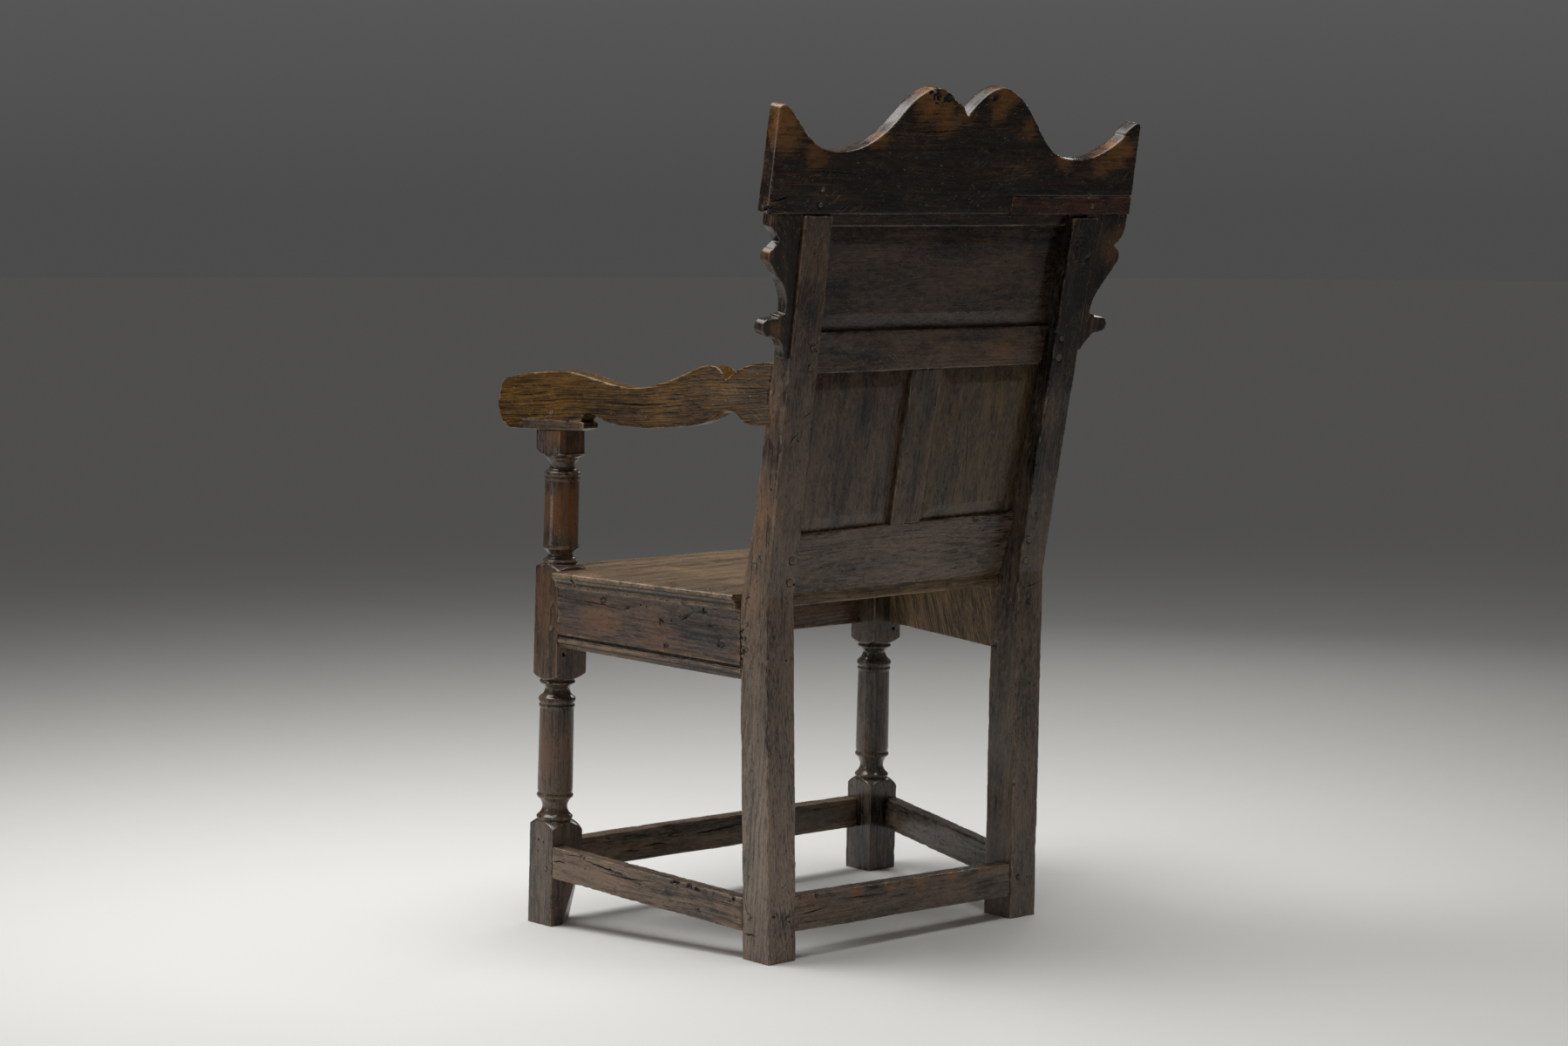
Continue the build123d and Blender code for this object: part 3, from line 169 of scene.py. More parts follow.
# Each kind: which nodes it takes, the slot in the record, the voxel in millimetres, the share of
# faces kept, how many steps the arrises are softened, how much the faces ripple and how deep the
# arrises are nicked, in millimetres, and worm, about how many worm holes it gets on its unseen sides.
# A moulded kind has a longer reach, and its hollows are darkened more strongly, as grime and painted
# shade.
KINDS = {
    "crest": dict(nodes=["crest"], slot="crest_oak",
                  voxel=1.3, keep=0.3, soften=8, ripple=0.4, nick=0.5, worm=26),
    "patch": dict(nodes=["crest_patch"], slot="crest_oak",
                  voxel=1.1, keep=0.4, soften=1, ripple=0.1, nick=0.3, worm=0),
    "ear": dict(nodes=["left_ear", "right_ear"], slot="crest_oak",
                voxel=1.0, keep=0.35, soften=2, ripple=0.25, nick=0.5, worm=8),
    "stile": dict(nodes=["left_rear_stile", "right_rear_stile"], slot="frame_oak",
                  voxel=1.5, keep=0.3, soften=5, ripple=0.5, nick=1.0, worm=24),
    "post": dict(nodes=["left_front_post", "right_front_post"], slot="frame_oak",
                 voxel=1.0, keep=0.3, soften=1, ripple=0.25, nick=0.6, worm=20),
    "rail": dict(nodes=["bottom_rail", "middle_rail", "top_rail", "muntin"], slot="back_oak",
                 voxel=1.5, keep=0.3, soften=2, ripple=0.4, nick=0.6, worm=10),
    "panel": dict(nodes=["upper_panel", "lower_left_panel", "lower_right_panel"], slot="panel_oak",
                  voxel=1.3, keep=0.2, soften=1, ripple=0.25, nick=0.0, worm=12),
    "apron": dict(nodes=["left_seat_rail", "right_seat_rail", "front_seat_rail"], slot="frame_oak",
                  voxel=0.75, keep=0.15, soften=0, ripple=0.3, nick=0.5, worm=10, reach=40, grime_and_shade=2.5),
    "stretcher": dict(nodes=["left_stretcher", "right_stretcher", "front_stretcher", "rear_stretcher"],
                      slot="frame_oak", voxel=1.5, keep=0.3, soften=5, ripple=0.6, nick=1.6, worm=10),
    "seat": dict(nodes=["seat_main_board", "seat_front_board"], slot="seat_oak",
                 voxel=0.9, keep=0.15, soften=0, ripple=0.3, nick=0.6, worm=10, reach=30, grime_and_shade=2.5),
    "arm": dict(nodes=["left_arm", "right_arm"], slot="arm_oak",
                voxel=1.5, keep=0.35, soften=8, ripple=0.4, nick=0.6, worm=8),
    "pad": dict(nodes=["left_arm_pad", "right_arm_pad"], slot="arm_oak",
                voxel=1.3, keep=0.4, soften=3, ripple=0.2, nick=0.4, worm=0),
    "peg": dict(nodes=["arm_pegs", "back_pegs", "crest_pegs", "seat_pegs", "seat_rail_pegs",
                       "stretcher_pegs"],
                slot="peg", voxel=0.8, keep=0.4, soften=3, ripple=0.15, nick=0.0, worm=0),
    "nail": dict(nodes=["ear_nails"], slot="nail",
                 voxel=0.5, keep=0.6, soften=2, ripple=0.05, nick=0.0, worm=0),
}
# The direction of the grain, where it isn't along the piece's length.
GRAIN = {"upper_panel": ACROSS, "seat_main_board": ACROSS, "seat_front_board": ACROSS,
         "crest_patch": ACROSS, "lower_left_panel": (0, 0.2, 1), "lower_right_panel": (0, 0.2, 1),
         "right_seat_rail": (0, -0.35, 1)}
# Sizes of the wear, in millimetres, along the grain and twice across it.
RUBBED_SIZE = (90, 40, 40)
NICK_SIZE = (14, 7, 7)
RIPPLE_SIZE = (110, 28, 28)
PIT_SIZE = 3.5
PIT_DARKNESS, NICK_DARKNESS = 1.8, 0.5
SHARP_ANGLE = radians(50)


# ---------------------------------------------------------------- marks
# Places are pixels of the picture, each on the node that it is listed under, as the camera sees
# it. Sizes are in millimetres.
STAINS_AND_PAINTED_SHADE = {    # x, y, radius, strength: above 0 rubbed to honey, below 0 blackened, and on the far stile darkened as painted shade
    "crest": [(897, 135, 35, 1.0), (905, 165, 25, 0.8), (935, 175, 25, 0.7), (1010, 160, 22, 0.6),
              (1070, 115, 40, 0.9), (1085, 140, 30, 0.6), (1110, 130, 20, 0.5), (1150, 115, 35, 0.9),
              (1180, 150, 25, 0.6), (1220, 185, 22, 0.7), (1285, 175, 35, 0.8), (1265, 185, 25, 0.6),
              (885, 235, 20, 0.4), (1000, 215, 60, -0.4), (1200, 215, 50, -0.4),
              (1120, 185, 50, -0.3)],
    "right_ear": [(1275, 280, 40, 0.5), (1255, 370, 30, 0.4), (1262, 320, 30, -0.8)],
    "left_ear": [(880, 290, 14, 0.7), (885, 250, 12, 0.6), (890, 378, 14, 0.6)],
    "left_rear_stile": [(935, 300, 60, 0.2), (925, 350, 50, -0.6), (885, 480, 40, 0.5),
                        (878, 560, 40, 0.3), (868, 600, 50, 0.5), (880, 520, 40, -0.5),
                        (865, 690, 40, 0.3), (915, 600, 30, -0.3), (905, 1060, 30, -0.7),
                        (850, 850, 40, -0.5), (852, 950, 40, 0.2)],
    "left_front_post": [(645, 590, 50, 0.9), (640, 500, 30, 0.9), (632, 560, 14, -0.8),
                        (620, 690, 50, 0.6), (640, 860, 50, 0.4), (652, 505, 8, -1.0)],
    # The far stile is darkened more towards its top: painted shade.
    "right_rear_stile": [(1240, 290, 90, -1.0), (1222, 400, 90, -0.9), (1200, 520, 70, -0.6),
                         (1160, 700, 40, -0.3), (1180, 940, 40, 0.3)],
    "rear_stretcher": [(985, 1021, 18, 1.0), (1020, 1014, 18, 1.0), (1055, 1008, 18, 1.0),
                       (1090, 1001, 18, 1.0), (1125, 995, 16, 0.8), (930, 1035, 30, 0.3),
                       (1130, 1015, 30, -0.5)],
    "left_stretcher": [(700, 1000, 60, 0.3), (840, 1050, 40, 0.2)],
    "front_stretcher": [(680, 970, 60, 0.3), (770, 960, 50, -0.4)],
    "right_front_post": [(1000, 975, 60, -1.0), (1000, 935, 40, -0.8), (1000, 860, 60, 0.2),
                         (1000, 700, 60, 0.2)],
    "middle_rail": [(1150, 395, 50, 0.5), (1080, 380, 40, 0.3), (1000, 400, 40, -0.4)],
    "lower_right_panel": [(1140, 460, 40, 0.4), (1090, 480, 40, 0.3), (1080, 590, 30, -0.4)],
    "lower_left_panel": [(1000, 470, 40, -0.4), (960, 570, 30, -0.4)],
    "upper_panel": [(1100, 270, 60, -0.5), (960, 340, 40, -0.3), (1200, 300, 40, -0.6)],
    "bottom_rail": [(1000, 590, 50, -0.4), (1140, 600, 40, -0.5)],
    "left_seat_rail": [(690, 705, 45, 0.6), (760, 725, 45, 0.5), (800, 710, 40, -0.7),
                       (660, 690, 20, -0.5)],
    "left_arm": [(640, 465, 50, 0.3), (760, 470, 50, 0.4), (830, 455, 40, 0.2), (870, 455, 30, -0.4)],
    "seat_main_board": [(700, 655, 50, 0.4), (800, 655, 40, 0.3), (750, 640, 40, -0.3)],
    "seat_front_board": [(640, 650, 40, -0.3)],
}
ROT = {       # x, y, radius, depth: worm-eaten, gouged or chipped wood
    "crest": [(1075, 108, 16, 2.5), (1090, 112, 12, 2.0), (880, 240, 8, 4.0), (1143, 112, 10, 1.2),
              (1236, 190, 10, 1.0), (1160, 225, 14, 0.6)],
    "left_rear_stile": [(867, 585, 9, 1.5), (862, 615, 9, 1.6), (866, 650, 8, 1.4),
                        (852, 728, 10, 2.5), (851, 745, 10, 2.5), (850, 758, 8, 2.0),
                        (872, 640, 7, 1.2), (884, 560, 8, 0.8), (858, 690, 9, 1.4)],
    "right_rear_stile": [(1186, 590, 8, 1.0), (1238, 280, 14, 1.0), (1247, 296, 6, 2.0),
                         (1141, 740, 5, 3.0), (1163, 900, 4, 1.5), (1180, 690, 9, 0.7)],
    "left_seat_rail": [(692, 688, 7, 2.0), (721, 697, 5, 1.6), (758, 713, 6, 2.0), (807, 701, 5, 1.5),
                       (815, 717, 5, 1.4), (765, 742, 7, 1.2), (827, 740, 8, 1.4), (787, 706, 6, 1.5)],
    "left_stretcher": [(668, 985, 6, 2.0), (700, 997, 7, 2.0), (775, 1012, 8, 3.0),
                       (790, 1016, 7, 2.5), (800, 1020, 6, 2.5), (820, 1026, 5, 1.5),
                       (840, 1032, 6, 2.5), (797, 1044, 5, 1.2)],
    "rear_stretcher": [(915, 1028, 8, 2.0), (935, 1025, 7, 2.0), (950, 1022, 5, 1.5)],
    "bottom_rail": [(960, 577, 9, 1.2), (1010, 583, 9, 1.0), (1070, 588, 9, 1.2), (1120, 596, 8, 1.2)],
    "front_stretcher": [(697, 963, 8, 0.8), (770, 959, 7, 1.0)],
    "seat_front_board": [(656, 667, 4, 2.0)],
}
HOLES = {     # x, y, radius
    "left_rear_stile": [(936, 281, 1.0), (934.6, 291, 0.9), (933.8, 335, 1.2), (926.9, 354.4, 1.2),
                        (932.5, 364.4, 0.9), (937.5, 393.8, 1.1), (936.9, 403, 1.2), (931, 424, 1.6),
                        (915, 506, 1.2), (911, 671, 1.7), (903, 692.5, 1.1), (902, 758, 1.7),
                        (862, 700, 1.0), (868, 668, 0.9), (860, 1006, 0.9), (888, 1052, 2.4),
                        (902, 976, 0.9), (877, 1068, 1.0)],
    "right_rear_stile": [(1239, 327, 1.0), (1220, 392, 1.2), (1179.7, 615.8, 1.5), (1186, 607, 0.9),
                         (1182, 652, 1.2), (1178, 622, 0.9), (1173, 722.5, 1.2), (1146, 734, 1.2),
                         (1161, 850, 0.9), (1147, 1005, 1.0), (1178, 1006, 0.9)],
    "left_front_post": [(618, 963, 1.7), (623, 966, 1.5), (617, 976, 1.2), (612, 990, 0.8),
                        (616, 940, 0.8)],
    "left_seat_rail": [(735, 694, 1.3), (742, 696, 1.1), (770, 712, 1.2), (690, 706, 0.9),
                       (800, 729, 0.9)],
    "left_stretcher": [(671, 997, 0.9), (734, 1015, 1.0), (785, 1037, 0.9), (801, 1043, 1.2),
                       (672, 1017, 0.8)],
    "rear_stretcher": [(1049, 1025, 1.2), (1147, 1005, 1.0), (916, 1061, 0.9), (1000, 1040, 0.8)],
    "front_stretcher": [(768, 959, 1.6), (697, 962, 1.2), (730, 970, 0.9)],
    "left_ear": [(891, 326, 1.0), (892, 395, 1.0), (893, 334, 0.8)],
    "crest": [(1010, 195, 0.9), (1130, 205, 0.8), (948, 200, 0.8), (1246, 222, 0.9)],
    "muntin": [(1052, 500, 0.9), (1049, 560, 0.8)],
    "middle_rail": [(990, 398, 0.9), (1130, 404, 0.9)],
    "bottom_rail": [(1000, 628, 0.9), (1102, 623, 0.9)],
}
CRACKS = {    # width, depth, then x, y of the corners of its line
    "left_rear_stile": [(1.0, 5, (905, 511), (910, 503), (917, 496)), (0.9, 4, (921, 480), (932, 472)),
                        (1.5, 7, (851, 1071), (858, 1072), (866, 1074)),
                        (0.9, 4, (899, 745), (901, 705), (904, 692)),
                        (0.8, 4, (853, 1028), (857, 1046), (862, 1058))],
    "crest": [(1.2, 6, (884, 231), (893, 230), (905, 226)),
              (0.8, 4, (1040, 150), (1075, 152), (1105, 149)),
              (0.6, 3, (930, 196), (985, 199))],
    "left_arm": [(0.9, 5, (845, 447), (862, 446), (882, 446)),
                 (0.8, 4, (700, 462), (735, 465), (765, 464))],
    "left_seat_rail": [(1.0, 5, (780, 712), (787, 709), (796, 702)),
                       (0.8, 4, (658, 688), (690, 693), (712, 699))],
    "left_stretcher": [(1.4, 6, (634, 989), (641, 988), (648, 991)),
                       (1.4, 7, (668, 986), (690, 995), (715, 1004)),
                       (1.0, 5, (690, 1001), (720, 1008), (750, 1012)), (0.8, 4, (640, 979), (670, 984))],
    "front_stretcher": [(1.2, 6, (735, 972), (755, 967), (772, 969)),
                        (1.5, 7, (795, 957), (820, 952), (848, 946)),
                        (1.0, 5, (712, 977), (735, 975))],
    "rear_stretcher": [(1.2, 6, (913, 1050), (925, 1048), (937, 1044), (950, 1040)),
                       (0.6, 3, (960, 1032), (1000, 1027))],
    "left_front_post": [(1.0, 5, (634, 668), (640, 662), (648, 655)), (0.9, 4, (626, 985), (640, 998))],
    "right_rear_stile": [(0.9, 3, (1232, 254), (1231, 302)), (0.8, 3, (1257, 256), (1255, 300)),
                         (1.0, 3, (1231, 302), (1255, 299)),
                         (0.8, 4, (1172, 676), (1184, 671), (1196, 665))],
    "lower_right_panel": [(0.8, 3, (1112, 470), (1109, 520), (1107, 560))],
    "seat_front_board": [(0.8, 4, (600, 642), (640, 655))],
}


def solid_tree(node):
    """A node's solid, to be met by lines."""
    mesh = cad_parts[node].data
    corners = [vertex.co for vertex in mesh.vertices]
    return BVHTree.FromPolygons(corners, [face.vertices for face in mesh.polygons])


def struck(tree, x, y):
    """Where the line of sight through a pixel meets a solid, and the outward direction there."""
    line = sight(x, y)
    place, out, _, _ = tree.ray_cast(CAMERA_PLACE, line)
    if place is None:
        place, out, _, _ = tree.find_nearest(CAMERA_PLACE + line * CAMERA_PLACE.length)
    return place, (out if out.dot(line) < 0 else -out)


def share_near(points, centre, radius, seed):
    """1 round a mark's centre, falling unevenly to 0 at about its radius."""
    share = np.zeros(len(points))
    apart = np.linalg.norm(points - np.array(centre), axis=1) / (radius * MM)
    near = np.nonzero(apart < 1.4)[0]
    if len(near):
        ragged = apart[near] + 0.3 * noise(points[near] / (0.45 * radius * MM), seed)
        share[near] = np.clip(1.3 * (1 - ragged), 0, 1)
    return share


def pitted(points, node, tree, seed):
    """How deep each point lies in worm-eaten, gouged or chipped wood, in millimetres."""
    total = np.zeros(len(points))
    for number, (x, y, radius, depth) in enumerate(ROT.get(node, [])):
        share = share_near(points, struck(tree, x, y)[0], radius, seed + number)
        ragged = np.clip(0.5 + 1.4 * noise(points / (PIT_SIZE * MM), seed + 31 + number, 2), 0, 1)
        total = np.maximum(total, share * ragged * depth)
    return total


def stained_and_shaded(points, node, tree, seed):
    total = np.zeros(len(points))
    for number, (x, y, radius, strength) in enumerate(STAINS_AND_PAINTED_SHADE.get(node, [])):
        total += strength * share_near(points, struck(tree, x, y)[0], radius, seed + number)
    return total


# ---------------------------------------------------------------- holes and cracks
CUT_LEAD = 1.5 * MM                    # how far a cutter stands out of the wood
SEEN_DEPTH, UNSEEN_DEPTH = 7, 5        # of a worm hole, in millimetres
UNSEEN_CRACK_WIDTH, UNSEEN_CRACK_DEPTH = 0.6, 4    # in millimetres
CLUSTER_SIZE = 14                      # spread of a cluster of worm holes, in millimetres
LEAST_LEFT = 0.9                       # share of its faces that a piece keeps where a cut works


def add_rings(form, rings):
    """Adds a closed solid to a form, through rings of as many points each."""
    rings = [[form.verts.new(point) for point in ring] for ring in rings]
    for first, second in zip(rings, rings[1:]):
        for place in range(len(first)):
            after = (place + 1) % len(first)
            form.faces.new((first[place], first[after], second[after], second[place]))
    form.faces.new(rings[0])
    form.faces.new(rings[-1])


def add_hole(form, place, out, radius, depth, chance):
    """Adds the cutter of a round hole, a little bent and oval."""
    side = out.orthogonal().normalized()
    other = out.cross(side)
    lean = (side * chance.uniform(-0.3, 0.3) + other * chance.uniform(-0.3, 0.3))
    swell = [chance.uniform(0.85, 1.15) for _ in range(9)]

    def ring(level, size):
        middle = place + (out + lean) * level
        turns = [2 * pi * number / len(swell) for number in range(len(swell))]
        return [middle + (side * cos(turn) + other * sin(turn)) * size * gain * MM
                for turn, gain in zip(turns, swell)]

    add_rings(form, [ring(CUT_LEAD, radius * 1.1), ring(-depth * MM, radius * 0.75)])


def add_crack(form, spots, width, depth):
    """Adds the cutter of a crack through spots of the surface, each a place and an outward direction."""
    rings = []
    for number, (place, out) in enumerate(spots):
        before, after = spots[max(number - 1, 0)][0], spots[min(number + 1, len(spots) - 1)][0]
        side = out.cross(after - before).normalized()
        share = 0.15 + 0.85 * sin(pi * (number + 0.35) / (len(spots) - 0.3))
        half, deep = width * share * MM, depth * share * MM
        lift = out * CUT_LEAD
        rings.append([place + lift + side * half, place + lift - side * half, place - out * deep])
    add_rings(form, rings)


def crack_spots(tree, line, chance):
    """Spots along a crack's line of pixels, which wavers a little from one to the next."""
    spots = []
    for (x0, y0), (x1, y1) in zip(line, line[1:]):
        steps = max(2, round(abs(x1 - x0) + abs(y1 - y0)) // 4)
        for step in range(steps):
            share = step / steps
            waver = chance.uniform(-0.5, 0.5)
            spots.append(struck(tree, x0 + (x1 - x0) * share + waver, y0 + (y1 - y0) * share - waver))
    spots.append(struck(tree, *line[-1]))
    return spots


def add_unseen(form, tree, points, normals, along, count, chance):
    """Adds clusters of worm holes, and cracks along the grain, to the sides the camera doesn't see."""
    for _ in range(count // 4 + (count > 0)):
        pick = chance.randrange(len(points))
        centre, out = Vector(points[pick]), Vector(normals[pick])
        if out.dot(CAMERA_PLACE - centre) > 0:
            continue
        for _ in range(chance.randint(2, 7)):
            spot = centre + Vector([chance.gauss(0, CLUSTER_SIZE * MM) for _ in range(3)])
            place, facing, _, _ = tree.find_nearest(spot)
            if facing.dot(out) > 0.9:
                add_hole(form, place, facing, chance.uniform(0.6, 1.1), UNSEEN_DEPTH, chance)
        length = chance.uniform(15, 45) * MM
        steps = range(-4, 5)
        spots = []
        for step in steps:
            place, facing, _, apart = tree.find_nearest(centre + Vector(along) * length * step / 8)
            if apart < 1.5 * MM and facing.dot(out) > 0.95:
                spots.append((place, facing))
        if len(spots) == len(steps):
            add_crack(form, spots, UNSEEN_CRACK_WIDTH, UNSEEN_CRACK_DEPTH)


def cut(piece, form):
    """Takes the closed solids of a form off a piece, by the first solver that keeps it whole."""
    bmesh.ops.recalc_face_normals(form, faces=form.faces)
    mesh = bpy.data.meshes.new("cutters")
    form.to_mesh(mesh)
    tool = bpy.data.objects.new("cutters", mesh)
    bpy.context.collection.objects.link(tool)
    before = len(piece.data.polygons)
    for solver in ("MANIFOLD", "EXACT"):
        whole = piece.data.copy()
        bite = piece.modifiers.new("holes", "BOOLEAN")
        bite.operation, bite.object, bite.solver = "DIFFERENCE", tool, solver
        applied(piece)
        if len(piece.data.polygons) > LEAST_LEFT * before:
            break
        piece.data = whole
    bpy.data.objects.remove(tool)


def holed(piece, node, tree, along, count, seed):
    """Cuts a piece's holes and cracks."""
    form = bmesh.new()
    chance = random.Random(seed)
    for x, y, radius in HOLES.get(node, []):
        add_hole(form, *struck(tree, x, y), radius, SEEN_DEPTH, chance)
    for width, depth, *line in CRACKS.get(node, []):
        add_crack(form, crack_spots(tree, line, chance), width, depth)
    mesh = piece.data
    add_unseen(form, tree, read_points(mesh), read_normals(mesh), along, count, chance)
    if form.faces:
        cut(piece, form)
    form.free()


# ---------------------------------------------------------------- old wood
def voxel_copy(node, voxel):
    """An even mesh of a frame node's solid, as a new object."""
    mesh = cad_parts[node].data.copy()
    mesh.materials.clear()
    form = bmesh.new()
    form.from_mesh(mesh)
    bmesh.ops.remove_doubles(form, verts=form.verts, dist=0.01 * MM)
    form.to_mesh(mesh)
    form.free()
    piece = bpy.data.objects.new("oak_" + node, mesh)
    bpy.context.collection.objects.link(piece)
    remesh = piece.modifiers.new("voxels", "REMESH")
    remesh.mode = "VOXEL"
    remesh.voxel_size = voxel * MM
    applied(piece)
    return piece


def grain_axes(node, points):
    """Three directions: along the grain, and two across it, the second through the thickness."""
    middle = points.mean(0)
    _, axes = np.linalg.eigh(np.cov((points - middle).T))
    along = GRAIN.get(node)
    along = np.array(along) / np.linalg.norm(along) if along else axes[:, 2]
    thick = axes[:, 0] - along * (axes[:, 0] @ along)
    thick /= np.linalg.norm(thick)
    return middle, np.stack([along, np.cross(thick, along), thick])


def proudness(points, edges, normals, voxel, steps=USUAL_REACH):
    """Above 0 on arrises and below 0 in corners, about 1 on a sharp one."""
    flat = softened(points, edges, steps)
    return np.einsum("ij,ij->i", points - flat, normals) / (0.9 * voxel * MM)


def wear_down(piece, kind, node, tree, voxel, seed):
    """Rubs and nicks the arrises, ripples the faces and eats rotten places away.

    It notes two attributes for the shader: 'tint' for the stains, with the painted shade of the far stile
    and the darkening of pits and nicks, and 'end_grain', which is 1 where a face cuts the grain square
    across.
    """
    mesh = piece.data
    points, edges = read_points(mesh), read_edges(mesh)
    middle, axes = grain_axes(node, points)
    along_grain = (points - middle) @ axes.T / MM
    uneven = 0.55 + 0.45 * noise(along_grain / RUBBED_SIZE, seed)
    points = softened(points, edges, kind["soften"], np.clip(uneven, 0.15, 1.0))
    write_points(mesh, points)
    normals = read_normals(mesh)
    nick = np.clip(noise(along_grain / NICK_SIZE, seed + 11) - 0.15, 0, 1) * kind["nick"]
    nick *= np.clip(proudness(points, edges, normals, voxel), 0, 1)
    ripple = noise(along_grain / RIPPLE_SIZE, seed + 5) * kind["ripple"]
    pits = pitted(points, node, tree, seed)
    write_points(mesh, points + normals * ((ripple - nick - pits) * MM)[:, None])
    tint = stained_and_shaded(points, node, tree, seed) - PIT_DARKNESS * np.clip(pits - 0.3, 0, 0.8)
    tint -= NICK_DARKNESS * np.clip(nick, 0, 1)
    set_attribute(mesh, "tint", np.clip(tint, -1, 1))
    set_attribute(mesh, "end_grain", np.abs(normals @ axes[0]))
    return middle, axes


def note_relief(piece, voxel, reach, grime_and_shade):
    """Attributes for the shader: 'rubbed' on proud arrises, painted pale as wear and highlight, and
    'hollow' in corners, darkened as grime and painted shade as strongly as the last argument asks.
    """
    mesh = piece.data
    points = read_points(mesh)
    proud = proudness(points, read_edges(mesh), read_normals(mesh), voxel, reach)
    set_attribute(mesh, "rubbed", np.clip(proud, 0, 1))
    set_attribute(mesh, "hollow", np.clip(-grime_and_shade * proud, 0, 1))


def thinned(piece, keep):
    decimate = piece.modifiers.new("fewer", "DECIMATE")
    decimate.ratio = keep
    applied(piece)


# ---------------------------------------------------------------- materials
def srgb(red, green, blue):
    """A colour from 0-255 values as a screen shows them."""
    def linear(value):
        value /= 255
        return value / 12.92 if value <= 0.04045 else ((value + 0.055) / 1.055) ** 2.4
    return (linear(red), linear(green), linear(blue), 1.0)


class Shader:
    """A material's nodes. Each method adds nodes and returns an output socket."""

    def __init__(self, tree):
        self.tree = tree

    def add(self, kind, inputs, out=0, **settings):
        node = self.tree.nodes.new("ShaderNode" + kind)
        for name, value in settings.items():
            setattr(node, name, value)
        for key, value in inputs.items():
            if isinstance(value, bpy.types.NodeSocket):
                self.tree.links.new(value, node.inputs[key])
            else:
                node.inputs[key].default_value = value
        return node.outputs[out]

    def math(self, operation, first, second=0.0):
        return self.add("Math", {0: first, 1: second}, operation=operation)

    def sum(self, first, *others):
        for other in others:
            first = self.math("ADD", first, other)
        return first

    def times(self, first, second):
        return self.math("MULTIPLY", first, second)

    def centred(self, value, gain):
        """A value from 0 to 1, swung round 0 and made gain times as strong."""
        return self.times(self.math("SUBTRACT", value, 0.5), gain)

    def scaled(self, vector, factors):
        return self.add("VectorMath", {0: vector, 1: factors}, operation="MULTIPLY")

    def sized(self, grain, size):
        """A place in units of a feature's length along the grain and width across it."""
        length, width = size
        return self.scaled(grain, (1 / length, 1 / width, 1 / width))

    def noise(self, vector, detail=2.0, roughness=0.5, distortion=0.0, colour=False):
        inputs = {"Vector": vector, "Scale": 1.0, "Detail": detail, "Roughness": roughness,
                  "Distortion": distortion}
        return self.add("TexNoise", inputs, out=1 if colour else 0)

    def ramp(self, value, low, high, start=0.0, end=1.0):
        inputs = {"Value": value, "From Min": low, "From Max": high, "To Min": start, "To Max": end}
        return self.add("MapRange", inputs, clamp=True)

    def mix(self, share, first, second):
        return self.add("Mix", {0: share, 6: first, 7: second}, out=2, data_type="RGBA")

    def attribute(self, name):
        return self.add("Attribute", {}, out=2, attribute_name=name)


# The figure's features: length along the grain and width across it, in millimetres.
BEND_SIZE, BEND_REACH = (260, 60), 24
CURL_SIZE, CURL_REACH = (50, 12), 1.0
PORE_SIZE = (9, 0.55)
STREAK_SIZE = (120, 2.4)
STAIN_SIZE = (210, 24)
MOTTLE_SIZE = (16, 7)
HAIR_SIZE = (34, 1.0)
SPECK_SIZE = (4.5, 2.0)
SCRATCH_SIZE, SCRATCH_TURN = (16, 0.6), radians(38)
SCUFF_SIZE = (60, 25)
DENT_SIZE = (5.0, 1.6)
PAINTED_FLOOR_LIGHT_TOP, PAINTED_FLOOR_LIGHT_FOOT = 0.85, 0.1    # heights between which the wood is painted paler downwards, as light from the floor below
DENT_SHARE = 0.8                       # how much of the pores' colour a dent takes
# The colour that hollows are darkened towards: grime and painted shade.
GRIME_AND_SHADE = (8, 6, 5)
FIGURE_OUTPUTS = ("Ring", "Pore", "Streak", "Stain", "Mottle", "Hair", "Speck", "Scratch", "Dent")


